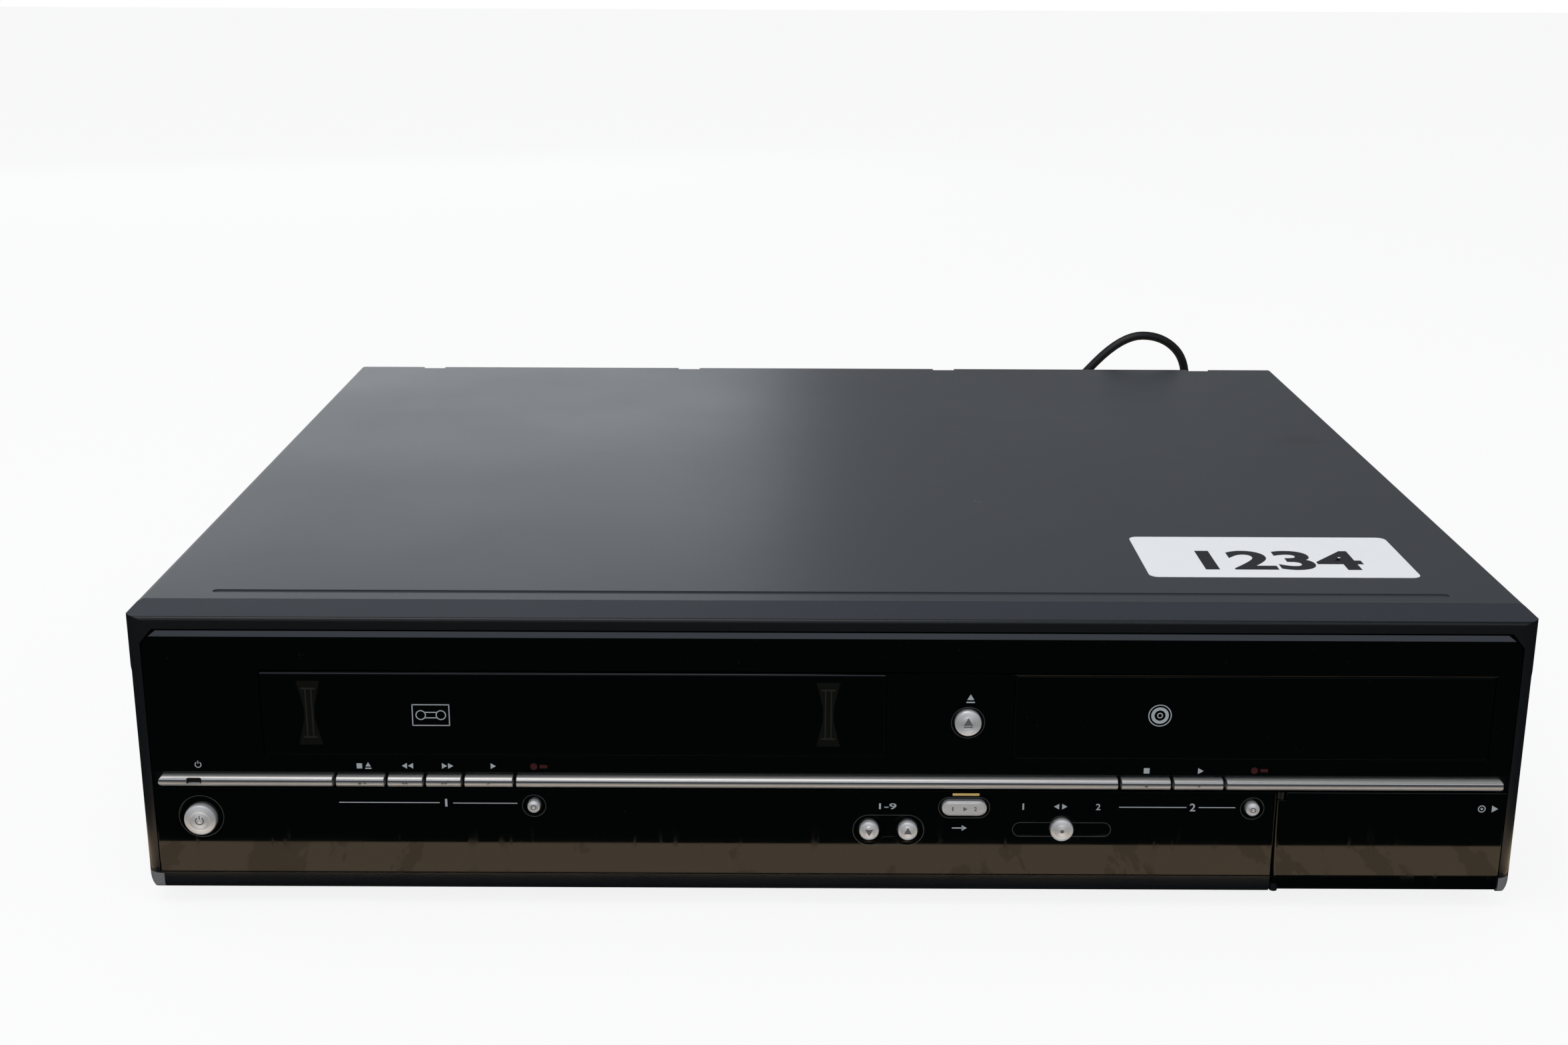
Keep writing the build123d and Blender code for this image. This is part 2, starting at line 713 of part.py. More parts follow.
def trim(x, rounded_ends=(0, 0)):
    """A fixed length of the silver bar, seated on the ledge."""
    bar = along_x(strip_section(LEDGE_FRONT), *x)
    if rounded_ends != (0, 0):
        left, right = rounded_ends
        low, high = up(STRIP_LOW), up(STRIP_HIGH)
        face = outline(
            [(x[0], low), (x[1], low), (x[1], high), (x[0], high)],
            [left, right, right, left],
        )
        bar &= along_y(face, FRONT - 5, LEDGE_FRONT)
    return bar


def trims():
    """The three fixed lengths of the silver bar; the left one has the standby lamp's window."""
    left = (-STRIP_HALF, -STRIP_HALF + TRIM_LEFT_WIDTH)
    right = (STRIP_HALF - TRIM_RIGHT_WIDTH, STRIP_HALF)
    middle = (keys()["vcr_play_key"][1] + KEY_GAP, keys()["dvd_stop_key"][0] - KEY_GAP)
    lamp_z = up((STRIP_LOW + STRIP_HIGH) / 2 + 0.4)
    lamp = along_y(
        Pos(-HALF + LAMP_MARGIN, lamp_z) * SlotOverall(LAMP_WIDTH, LAMP_HEIGHT), FRONT - 5, FRONT - 1.2
    )
    return [trim(left, (1.6, 0.1)) - lamp, trim(middle), trim(right, (0.1, 1.0))]


# ---- round buttons ----
def round_buttons():
    return {
        "power_button": POWER,
        "vcr_record_button": TAPE_REC,
        "program_down_button": PROG_DOWN,
        "program_up_button": PROG_UP,
        "select_button": SELECT,
        "dvd_record_button": DISC_REC,
        "open_close_button": OPEN_CLOSE,
    }


def round_button(x, height, radius):
    """A crowned cap with a retaining flange behind the ledge and a pusher on its back."""
    proud = FRONT - BUTTON_PROUD
    profile = [
        (0, proud - 0.35),
        (radius * 0.55, proud - 0.25),
        (radius - 0.45, proud),
        (radius, proud + 0.5),
        (radius, HOOK_FRONT),
        (radius + FLANGE_REACH, HOOK_FRONT),
        (radius + FLANGE_REACH, HOOK_FRONT + FLANGE_THICK),
        (1.1, HOOK_FRONT + FLANGE_THICK),
        (1.1, STEM_END),
        (0, STEM_END),
    ]
    return turned_y(profile, x, up(height))


def dubbing_button():
    """A long pill-shaped cap, made like the round ones."""
    cap = along_y(dubbing_face(0), FRONT - BUTTON_PROUD + 0.4, HOOK_FRONT)
    cap += along_y(dubbing_face(-0.5), FRONT - BUTTON_PROUD, FRONT)
    cap += along_y(dubbing_face(FLANGE_REACH), HOOK_FRONT, HOOK_FRONT + FLANGE_THICK)
    return cap + rod_y(DUBBING[0], up(DUBBING[1]), 1.1, HOOK_FRONT, STEM_END)


# ---- doors ----
def cassette_door():
    """Smoked door that swings in about pins at its top corners, with two ribs on its back."""
    low, high = up(DOOR_LOW), up(DOOR_HIGH)
    axis_y, axis_z = FRONT + DOOR_THICK / 2, up(DOOR_AXIS_HEIGHT)
    section = make_face(
        [
            Line((FRONT + DOOR_THICK, axis_z), (FRONT + DOOR_THICK, low)),
            Line((FRONT + DOOR_THICK, low), (FRONT, low)),
            Line((FRONT, low), (FRONT, axis_z)),
            ThreePointArc((FRONT, axis_z), (axis_y, high), (FRONT + DOOR_THICK, axis_z)),
        ]
    )
    door = along_x(section, *DOOR_X)
    for x0, sign in ((DOOR_X[0], -1), (DOOR_X[1], 1)):
        ends = sorted((x0 - sign, x0 + sign * (SEAM + DOOR_PIN_LONG)))
        door += rod_x(axis_y, axis_z, DOOR_PIN_R, *ends)
    for x in (DOOR_X[0] + 18, DOOR_X[1] - 13.5):
        rib = outline(
            [
                (x - 3.8, low + 2),
                (x + 3.8, low + 2),
                (x + 1.6, low + 12),
                (x + 3.8, high - 5.3),
                (x - 3.8, high - 5.3),
                (x - 1.6, low + 12),
            ]
        )
        door += along_y(rib, FRONT + DOOR_THICK - 0.5, FRONT + DOOR_THICK + 1.5)
    return door


def tray_front():
    """Black plate on the front of the disc tray, with two hooks into the tray."""
    z = (up(TRAY_FRONT_LOW), up(TRAY_FRONT_HIGH))
    plate = along_y(rounded(TRAY_X, z, 0.6), FRONT, LEDGE_FRONT - 0.1)
    for sign in (-1, 1):
        x = DRIVE_X + sign * 45
        hook_z = up(TRAY_TOP)
        plate += block((x - 5, x + 5), (LEDGE_FRONT - 0.2, back(12)), (hook_z, hook_z + 1.5))
    return plate


def av_flap():
    """Flap over the front sockets; it turns on pins at its left edge and carries its own lip."""
    x, y = FLAP_AXIS
    low, high = up(FLAP_LOW), up(LOWER_HIGH)
    section = outline(
        [
            (FRONT, low),
            (LEDGE_FRONT - 0.1, low),
            (LEDGE_FRONT - 0.1, up(LOWER_LOW)),
            (FRONT + FLAP_THICK, up(LOWER_LOW)),
            (FRONT + FLAP_THICK, high),
            (FRONT, high),
        ],
        [2.2, 0.2, 0.2, 0.2, 0.2, 0.3],
    )
    flap = along_x(section, x, FLAP_X[1])
    low_pin = up(FLAP_LOW + KNUCKLE_LOW) + 0.3
    high_pin = up(LOWER_HIGH - KNUCKLE_HIGH) - 0.3
    flap += rod_z(x, y, FLAP_THICK / 2, low_pin, high_pin)
    for z in ((low - 1, low_pin), (high_pin, high + 1)):
        flap -= block((x - 3, x + FLAP_THICK / 2 + 0.5), (FRONT - 2, LEDGE_REAR), z)
    flap += rod_z(x, y, DOOR_PIN_R, low_pin - 2, high_pin + 2)
    flap += block(
        (FLAP_X[1] - 6, FLAP_X[1] - 2), (FRONT + FLAP_THICK, LEDGE_FRONT - 0.1), (up(18), up(24))
    )
    return flap


# ---- boards behind the front ----
def front_board():
    """Key board: it carries a push switch behind every key and the display tube."""
    y = (BOARD_FRONT, BOARD_FRONT + BOARD)
    board = block((-HALF + 8, FLAP_X[0] - 8), y, (up(5), up(42)))
    board += block((OPEN_CLOSE[0] - 8, OPEN_CLOSE[0] + 8), y, (up(42), up(62)))
    places = [(x, height) for x, height, _ in round_buttons().values()]
    places.append(DUBBING)
    middle = (STRIP_LOW + STRIP_HIGH) / 2
    places += [((x[0] + x[1]) / 2, middle) for x in keys().values()]
    for x, height in places:
        z = up(height)
        board += block(
            (x - 3, x + 3), (PLUNGER_TIP + 0.7, BOARD_FRONT), (z - 3, z + 3)
        ) + rod_y(x, z, 1.6, PLUNGER_TIP, BOARD_FRONT)
    board += block((-40, 20), (y[1], y[1] + 4), (up(10), up(16)))
    return board


def display_tube():
    """Flat glass tube of the display, on its pins in front of the key board."""
    x = (DISPLAY_X[0] + 2, DISPLAY_X[1] - 2)
    z = (up(DISPLAY_HEIGHTS[0] + 1), up(DISPLAY_HEIGHTS[1] - 1))
    tube = block(x, (LEDGE_REAR + 0.5, LEDGE_REAR + 0.5 + TUBE_DEPTH), z)
    for i in range(12):
        px = x[0] + 6 + i * 5.4
        tube += block(
            (px - 0.3, px + 0.3), (LEDGE_REAR + TUBE_DEPTH, BOARD_FRONT), (z[0] + 1, z[0] + 1.6)
        )
    return tube


def front_sockets():
    """Three phono sockets and a round video socket on their own small board."""
    middle = (FLAP_X[0] + FLAP_X[1]) / 2 + 2
    x = (FLAP_X[0] + 6, FLAP_X[1] - 4)
    y = (BOARD_FRONT, BOARD_FRONT + BOARD)
    shape = block(x, y, (up(5), up(33)))
    for i in range(4):
        px = middle + (i - 1.5) * JACK_PITCH
        z = up(JACK_HEIGHT)
        shape += block((px - 5.5, px + 5.5), (LEDGE_REAR + 1.2, BOARD_FRONT), (z - 6.5, z + 5.5))
        barrel = rod_y(px, z, JACK_BARREL_R, LEDGE_FRONT + 0.4, LEDGE_REAR + 2)
        shape += barrel - rod_y(px, z, JACK_BORE_R, FRONT, BOARD_FRONT)
    return shape


# ---- boards and sockets at the back ----
def board_parts(x, kind):
    """A board with what stands on it; kind picks the tall parts."""
    y = (back(BOARD_START), REAR - REAR_SHEET - 1)
    z = up(BOARD_HEIGHT + BOARD)
    board = block(x, y, (up(BOARD_HEIGHT), z))
    if kind == "main":
        board += block((x[0] + 90, x[0] + 118), (y[0] + 20, y[0] + 48), (z, z + 2.5))
        board += block((x[0] + 60, x[0] + 80), (y[0] + 60, y[0] + 76), (z, z + 2))
        for i in range(5):
            board += block(
                (x[0] + 150 + 5 * i, x[0] + 151.5 + 5 * i), (y[0] + 20, y[0] + 50), (z, z + 22)
            )
        board += block((x[0] + 148, x[0] + 174), (y[0] + 34, y[0] + 36), (z, z + 22))
        for i in range(4):
            board += rod_z(x[0] + 20 + 14 * i, y[0] + 24, 5, z, z + 14)
    else:
        board += block((x[0] + 50, x[0] + 88), (y[0] + 30, y[0] + 64), (z, z + 30))
        board += rod_z(x[0] + 112, y[0] + 40, 11, z, z + 32)
        board += block((x[0] + 30, x[0] + 33), (y[0] + 20, y[0] + 80), (z, z + 38))
        board += block((x[0] + 128, x[0] + 152), (y[0] + 76, y[0] + 98), (z, z + 18))
        for i in range(4):
            board += rod_z(x[0] + 12, y[0] + 22 + 16 * i, 5, z, z + 20)
    return board


def av_places():
    """Centres of the rear phono sockets."""
    return [
        (AV_X + AV_PITCH * (i - (AV_COLUMNS - 1) / 2), up(AV_HEIGHT) + AV_PITCH * row)
        for i in range(AV_COLUMNS)
        for row in range(AV_ROWS)
    ]


def rear_av_sockets():
    """Two rows of phono sockets on one moulded block that stands on the main board."""
    half = AV_PITCH * AV_COLUMNS / 2
    y = (REAR - REAR_SHEET - 12, REAR - REAR_SHEET - 0.2)
    top = up(AV_HEIGHT) + AV_PITCH * (AV_ROWS - 0.5)
    shape = block((AV_X - half, AV_X + half), y, (up(BOARD_HEIGHT + BOARD), top))
    for x, z in av_places():
        shape += rod_y(x, z, JACK_FLANGE_R, y[1] - 0.5, REAR + 1.2)
        shape += rod_y(x, z, JACK_BARREL_R, REAR, REAR + SOCKET_REACH)
    return shape - [
        rod_y(x, z, JACK_BORE_R, REAR - 4, REAR + SOCKET_REACH + 1) for x, z in av_places()
    ]


def aerial_sockets():
    """Screened can with the aerial input and output."""
    y = (REAR - REAR_SHEET - 22, REAR - REAR_SHEET - 0.2)
    x = (AERIAL_X - 12, AERIAL_X + AERIAL_PITCH + 12)
    shape = block(x, y, (up(BOARD_HEIGHT + BOARD), up(AERIAL_HEIGHT + 9)))
    for i in range(2):
        px = AERIAL_X + AERIAL_PITCH * i
        z = up(AERIAL_HEIGHT)
        shape += rod_y(px, z, 4.7, y[1] - 0.5, REAR + SOCKET_REACH)
        shape -= rod_y(px, z, 3.6, REAR + 1, REAR + SOCKET_REACH + 1)
        shape += rod_y(px, z, 1.0, REAR, REAR + SOCKET_REACH - 1)
    return shape


def digital_places():
    """x, width and height of the square digital sockets."""
    return [(DIGITAL_X, 15.4, 6.0), (DIGITAL_X + DIGITAL_SPACING, 9.6, 9.6)]


def digital_plate_view(grow):
    """Rear view of the bracket plate behind the panel, made larger by grow."""
    middle = DIGITAL_X + DIGITAL_SPACING / 2
    wide, high = (size / 2 + grow for size in DIGITAL_PLATE)
    z = up(DIGITAL_HEIGHT)
    return rounded((middle - wide, middle + wide), (z - high, z + high), 1.0)


def digital_sockets():
    """A flat picture socket and a square optical one, on their own bracket plate."""
    plate_y = (REAR - REAR_SHEET - 1.0, REAR - REAR_SHEET)
    plate = along_y(digital_plate_view(0), *plate_y)
    solids = []
    for x, wide, high in digital_places():
        z = up(DIGITAL_HEIGHT)
        hole = ((x - wide / 2, x + wide / 2), (z - high / 2, z + high / 2))
        plate -= block(hole[0], (plate_y[0] - 1, plate_y[1] + 1), hole[1])
        y = (REAR - REAR_SHEET - 11, REAR + 0.6)
        low = up(BOARD_HEIGHT + BOARD)
        shell = block((x - wide / 2 + 0.2, x + wide / 2 - 0.2), y, (low, z + high / 2 - 0.2))
        shell -= block(
            (x - wide / 2 - 1, x + wide / 2 + 1),
            (plate_y[0] - 0.2, y[1] + 1),
            (low - 1, z - high / 2 + 0.2),
        )
        shell -= block(
            (x - wide / 2 + 0.9, x + wide / 2 - 0.9),
            (y[1] - 7, y[1] + 1),
            (z - high / 2 + 0.9, z + high / 2 - 0.9),
        )
        solids.append(shell)
    return solids + [plate]


# ---- tape deck ----
def deck_plate():
    """Pressed deck plate on two turned-down legs, with reel posts and guide slots."""
    half = DECK_WIDTH / 2
    x = (DECK_X - half, DECK_X + half)
    y = (back(DECK_START), back(DECK_START + DECK_DEPTH))
    z0, z1 = up(DECK_HEIGHT), up(DECK_HEIGHT + DECK_SHEET)
    plate = block(x, y, (z0, z1))
    for x0 in (x[0], x[1] - DECK_SHEET):
        plate += block((x0, x0 + DECK_SHEET), y, (up(PAN_FLOOR), z1))
    for sign in (-1, 1):
        gx = DECK_X + sign * GUIDE_X
        slot = rounded(
            (gx - GUIDE_SLOT / 2, gx + GUIDE_SLOT / 2),
            (back(GUIDE_START - 5), back(GUIDE_START + GUIDE_TRAVEL + 5)),
            GUIDE_SLOT / 2 - 0.05,
        )
        plate -= along_z(slot, z0 - 1, z1 + 1)
    plate -= along_z(
        rounded((DECK_X - 24, DECK_X + 24), (back(96), back(132)), 5), z0 - 1, z1 + 1
    )
    cx, cy = DECK_X + CAPSTAN[0], back(CAPSTAN[1])
    plate += rod_z(cx, cy, 4.0, z0 - 2, z1 + 3.4)
    plate -= rod_z(cx, cy, CAPSTAN_R + PIN_GAP, z0 - 3, z1 + 6)
    for sign in (-1, 1):
        px, py = DECK_X + sign * REEL_SPACING / 2, back(REEL_BACK)
        plate += rod_z(px, py, 4.0, z0, z1 + 0.8) + rod_z(px, py, POST_R, z1, z1 + 11)
    plate += rod_z(DECK_X + PINCH_PIVOT[0], back(PINCH_PIVOT[1]), POST_R, z1, z1 + 20)
    return plate


def carriage_frame():
    """Two side plates and a cross plate that the cassette holder rises and falls in."""
    inner = HOLDER_WIDTH / 2 + 1.0
    y = (back(HOLDER_START + 2), back(HOLDER_START + HOLDER_DEPTH - 2))
    z = (up(DECK_HEIGHT + DECK_SHEET), up(CARRIAGE_HIGH))
    frame = block(
        (DECK_X - inner - DECK_SHEET, DECK_X + inner + DECK_SHEET),
        (y[0] + 30, y[1] - 20),
        (z[1] - DECK_SHEET, z[1]),
    )
    for sign in (-1, 1):
        x = sorted((DECK_X + sign * inner, DECK_X + sign * (inner + DECK_SHEET)))
        side = block(x, y, z)
        for py in holder_pins():
            low = up(HOLDER_FLOOR + 10 - HOLDER_DROP) - HOLDER_PIN_R - SLIDE_GAP
            high = up(HOLDER_FLOOR + 10) + HOLDER_PIN_R + SLIDE_GAP
            wide = HOLDER_PIN_R + SLIDE_GAP
            side -= along_x(
                rounded((py - wide, py + wide), (low, high), wide - 0.02), x[0] - 1, x[1] + 1
            )
        frame += side
    return frame


def holder_pins():
    return (back(HOLDER_START + 20), back(HOLDER_START + HOLDER_DEPTH - 20))


def cassette_holder():
    """Three riveted sheets that take the cassette: a top with springs' windows and two sides."""
    half = HOLDER_WIDTH / 2
    y = (back(HOLDER_START), back(HOLDER_START + HOLDER_DEPTH))
    low = up(HOLDER_FLOOR)
    inside = (low + 1, low + 1 + HOLDER_INSIDE)
    top = block((DECK_X - half, DECK_X + half), y, (inside[1], inside[1] + 1))
    for sign in (-1, 1):
        window_x = sorted((DECK_X + sign * 12, DECK_X + sign * 60))
        window = rounded(window_x, (y[0] + 20, y[1] - 18), 6)
        top -= along_z(window, inside[1] - 1, inside[1] + 2)
    solids = [top]
    for sign in (-1, 1):
        wall = sorted((DECK_X + sign * half, DECK_X + sign * (half - 1)))
        ledge = sorted((DECK_X + sign * half, DECK_X + sign * (half - 13)))
        side = block(wall, y, (low, inside[1])) + block(ledge, y, (low, low + 1))
        ends = sorted((DECK_X + sign * (half - 0.5), DECK_X + sign * (half + 1 + DECK_SHEET + 0.8)))
        for py in holder_pins():
            side += rod_x(py, up(HOLDER_FLOOR + 10), HOLDER_PIN_R, *ends)
        solids.append(side)
    return solids


def drum_place():
    """Where the drum stands: on the deck, leaning by its tilt."""
    rise = (DRUM_R + 3) * math.sin(math.radians(DRUM_TILT)) + 0.4
    base = up(DECK_HEIGHT + DECK_SHEET) + rise
    return Pos(DECK_X, back(DRUM_BACK), base) * Rot(DRUM_TILT, 0, 0)


def lower_drum():
    """Fixed half of the head drum on a flange with three feet."""
    top = 3 + DRUM_LOW_HEIGHT
    bore = DRUM_SHAFT_R + PIN_GAP
    drum = turned(
        [
            (bore, 0),
            (DRUM_R + 3, 0),
            (DRUM_R + 3, 3),
            (DRUM_R, 3),
            (DRUM_R, top),
            (DRUM_R - 4, top),
            (DRUM_R - 4, 5),
            (7, 5),
            (7, top - 1),
            (bore, top - 1),
        ],
        drum_place(),
    )
    deck = up(DECK_HEIGHT + DECK_SHEET)
    for angle in (90, 210, 330):
        fx = DECK_X + (DRUM_R - 2) * math.cos(math.radians(angle))
        fy = back(DRUM_BACK) + (DRUM_R - 2) * math.sin(math.radians(angle))
        height = 4 + (DRUM_R - 2) * math.sin(math.radians(angle)) * math.sin(
            math.radians(DRUM_TILT)
        )
        drum += rod_z(fx, fy, 3.0, deck, deck + height + 1.5)
    return drum


def upper_drum():
    """Turning half of the head drum on its shaft, with two head windows in its edge."""
    low = 3 + DRUM_LOW_HEIGHT + DRUM_GAP
    top = low + DRUM_UP_HEIGHT
    profile = [
        (0, 1),
        (DRUM_SHAFT_R, 1),
        (DRUM_SHAFT_R, low),
        (DRUM_R, low),
        (DRUM_R, top),
        (DRUM_R - 3, top),
        (DRUM_R - 3, top - 2),
        (20, top - 2),
        (20, top + 6),
        (17, top + 8),
        (0, top + 8),
    ]
    face = make_face(Polyline(*profile, close=True))
    drum = revolve(Plane.XZ * face, Axis.Z)
    for sign in (-1, 1):
        x = sorted((sign * (DRUM_R - 2), sign * (DRUM_R + 1)))
        drum -= block(x, (-2.5, 2.5), (low - 1, low + 2.5))
    return drum_place() * drum


def capstan():
    """Capstan shaft with its flywheel under the deck."""
    x, y = DECK_X + CAPSTAN[0], back(CAPSTAN[1])
    profile = [
        (0, up(6)),
        (2.0, up(6)),
        (2.0, up(9)),
        (FLYWHEEL_R - 3, up(9)),
        (FLYWHEEL_R - 3, up(8)),
        (FLYWHEEL_R, up(8)),
        (FLYWHEEL_R, up(14)),
        (CAPSTAN_R, up(15)),
        (CAPSTAN_R, up(45)),
        (0, up(45)),
    ]
    return turned(profile, Pos(x, y, 0))


def pinch_rest():
    """Angle of the arm at rest and the roller's centre, in the deck's plan."""
    px, py = PINCH_PIVOT
    dx, dy = CAPSTAN[0] - px, CAPSTAN[1] - py
    far = math.hypot(dx, dy)
    touch = CAPSTAN_R + PINCH_ROLLER_R + 0.1
    lean = math.acos((far**2 + PINCH_ARM**2 - touch**2) / (2 * far * PINCH_ARM))
    angle = math.atan2(dy, dx) + lean + math.radians(PINCH_SWING)
    return angle, (px + PINCH_ARM * math.cos(angle), py + PINCH_ARM * math.sin(angle))


def pinch_arm():
    """Arm on its post, with the axle that the pinch roller turns on."""
    _, (rx, ry) = pinch_rest()
    px, py = PINCH_PIVOT
    z = up(DECK_HEIGHT + DECK_SHEET)
    a = (DECK_X + px, back(py))
    b = (DECK_X + rx, back(ry))
    arm = rod_z(*a, 5.0, z + 2, z + 19)
    plate = make_face(Polyline(*arm_sides(a, b, 3.5), close=True))
    arm += along_z(plate, z + 16, z + 18) + rod_z(*b, 3.5, z + 16, z + 18)
    arm += rod_z(*b, POST_R, z + 3, z + 16)
    return arm - rod_z(*a, POST_R + PIN_GAP, z, z + 21)


def arm_sides(a, b, half):
    """Four corners of a straight bar from a to b."""
    long = math.hypot(b[0] - a[0], b[1] - a[1])
    nx, ny = -(b[1] - a[1]) / long * half, (b[0] - a[0]) / long * half
    return [
        (a[0] + nx, a[1] + ny),
        (b[0] + nx, b[1] + ny),
        (b[0] - nx, b[1] - ny),
        (a[0] - nx, a[1] - ny),
    ]


def pinch_roller():
    _, (rx, ry) = pinch_rest()
    z = up(DECK_HEIGHT + DECK_SHEET)
    inner = POST_R + PIN_GAP
    profile = [
        (inner, z + 4),
        (PINCH_ROLLER_R, z + 4),
        (PINCH_ROLLER_R, z + 15),
        (inner, z + 15),
    ]
    return turned(profile, Pos(DECK_X + rx, back(ry), 0))


def reel_table(sign):
    """Reel table with a splined hub, turning on its post."""
    x, y = DECK_X + sign * REEL_SPACING / 2, back(REEL_BACK)
    z = up(DECK_HEIGHT + DECK_SHEET) + 1.0
    bore = POST_R + PIN_GAP
    table = turned(
        [
            (bore, z),
            (REEL_TABLE_R, z),
            (REEL_TABLE_R, z + 2),
            (12.5, z + 2),
            (12.5, z + 3),
            (6, z + 3),
            (6, z + 12),
            (4, z + 14),
            (bore, z + 14),
        ],
        Pos(x, y, 0),
    )
    fin = block((5.5, 8.2), (-0.9, 0.9), (z + 3, z + 10))
    for angle in (0, 120, 240):
        table += Pos(x, y, 0) * Rot(0, 0, angle) * fin
    return table


def guide_block(sign):
    """Tape guide on its base, with a key that runs in the deck's slot."""
    x, y = DECK_X + sign * GUIDE_X, back(GUIDE_START)
    z = up(DECK_HEIGHT + DECK_SHEET)
    shape = block((x - 6, x + 6), (y - 6, y + 6), (z + 0.1, z + 4))
    shape += rod_z(x, y, 2.9, z + 4, z + 24) + rod_z(x, y + 4, 1.0, z + 4, z + 20)
    shape += rod_z(x, y, 3.4, z + 4, z + 5) + rod_z(x, y, 3.4, z + 22, z + 24)
    key = GUIDE_SLOT / 2 - SLIDE_GAP
    shape += rod_z(x, y, key, z - DECK_SHEET - 0.8, z + 1)
    shape += rod_z(x, y, key + 1.4, z - DECK_SHEET - 1.8, z - DECK_SHEET - 0.3)
    return shape


def loading_motor():
    """Motor that threads the tape, lying in a bracket on the deck."""
    x = DECK_X - DECK_WIDTH / 2 + 22
    y = back(DECK_START + DECK_DEPTH - 26)
    z = up(DECK_HEIGHT + DECK_SHEET)
    shape = rod_y(x, z + 13, 11.0, y - 14, y + 14)
    shape += block((x - 12, x + 12), (y - 15, y - 13), (z, z + 25))
    shape += block((x - 12, x + 12), (y - 15, y + 14), (z, z + 1.2))
    shape += rod_y(x, z + 13, 1.0, y - 34, y - 14)
    return shape + rod_y(x, z + 13, 3.0, y - 32, y - 18)


# ---- disc drive ----
def drive_frame():
    """Moulded frame of the drive: side walls with runners, cross members and four legs."""
    half = DRIVE_WIDTH / 2
    x = (DRIVE_X - half, DRIVE_X + half)
    y = (back(DRIVE_START), back(DRIVE_START + DRIVE_DEPTH))
    z = (up(DRIVE_LOW), up(DRIVE_HIGH))
    frame = block(x, y, z)
    frame -= block(
        (x[0] + DRIVE_WALL, x[1] - DRIVE_WALL),
        (y[0] + DRIVE_WALL, y[1] - DRIVE_WALL),
        (z[0] + DRIVE_WALL, z[1] + 1),
    )
    mouth = up(TRAY_TOP - TRAY_THICK - 5)
    frame -= block((x[0] + DRIVE_WALL, x[1] - DRIVE_WALL), (y[0] - 1, y[0] + 4), (mouth, z[1] + 1))
    well = TRAVERSE_WIDTH / 2 + 2.5
    frame -= block(
        (DRIVE_X - well, DRIVE_X + well), (back(50), back(TRAVERSE_BACK - 6)), (z[0] - 1, z[0] + 3)
    )
    tray_low, tray_high = up(TRAY_TOP - TRAY_THICK), up(TRAY_TOP)
    for sign in (-1, 1):
        runner = sorted((DRIVE_X + sign * (half - 1), DRIVE_X + sign * (TRAY_WIDTH / 2 - 3)))
        frame += block(runner, y, (tray_low - 2, tray_low - SLIDE_GAP))
        keeper = sorted((DRIVE_X + sign * (half - 1), DRIVE_X + sign * (TRAY_WIDTH / 2 - 1.5)))
        frame += block(keeper, (y[0] + 20, y[1] - 40), (tray_high + SLIDE_GAP, tray_high + 1.6))
        lug = sorted(
            (DRIVE_X + sign * (TRAVERSE_WIDTH / 2 + 1), DRIVE_X + sign * (TRAVERSE_WIDTH / 2 + 5))
        )
        ly = back(TRAVERSE_BACK)
        ear = block(lug, (ly - 4, ly + 4), (z[0], up(TRAVERSE_HEIGHT + TRAVERSE_ABOVE)))
        frame += ear
        frame -= rod_x(ly, up(TRAVERSE_HEIGHT), TRAVERSE_PIN_R + PIN_GAP, lug[0] - 1, lug[1] + 1)
        for leg_y in (y[0] + 11, y[1] - 6):
            leg_x = DRIVE_X + sign * (half - 6)
            frame += rod_z(leg_x, leg_y, 4.0, up(PAN_FLOOR), z[0] + 1)
    gx, gy = gear_place()
    frame += rod_z(gx, gy, 4.0, z[0], up(TRAY_TOP - TRAY_THICK - 8.2))
    return frame + rod_z(gx, gy, POST_R, z[0], up(TRAY_TOP - TRAY_THICK - 0.6))


def gear_place():
    return DRIVE_X + RACK_X - GEAR_R - 0.35, back(DRIVE_START + 16)


def disc_tray():
    """Tray with a dished seat for each disc size, an open slot for the hub and lens, and a rack."""
    half = TRAY_WIDTH / 2
    y = (LEDGE_FRONT - 0.1, LEDGE_FRONT - 0.1 + TRAY_DEPTH)
    z = (up(TRAY_TOP - TRAY_THICK), up(TRAY_TOP))
    tray = block((DRIVE_X - half, DRIVE_X + half), y, z)
    cx, cy = DRIVE_X, back(DISC_BACK)
    tray -= rod_z(cx, cy, DISC_R, z[1] - DISC_DISH, z[1] + 1)
    tray -= rod_z(cx, cy, SMALL_DISC_R, z[1] - DISC_DISH - 0.8, z[1] + 1)
    slot = rounded((cx - HUB_SLOT, cx + HUB_SLOT), (cy - HUB_SLOT, cy + 78), HUB_SLOT - 0.1)
    tray -= along_z(slot, z[0] - 1, z[1] + 1)
    rear_cut = block((cx - 50, cx + 50), (cy + 84, y[1] + 1), (z[0] - 1, z[1] + 1))
    tray -= rear_cut
    for sign in (-1, 1):
        wedge = block(
            sorted((cx + sign * 45, cx + sign * (half - 7))),
            (y[0] + 6, y[0] + 16),
            (z[1] - 1.5, z[1] + 1),
        )
        tray -= wedge
    return tray + rack()


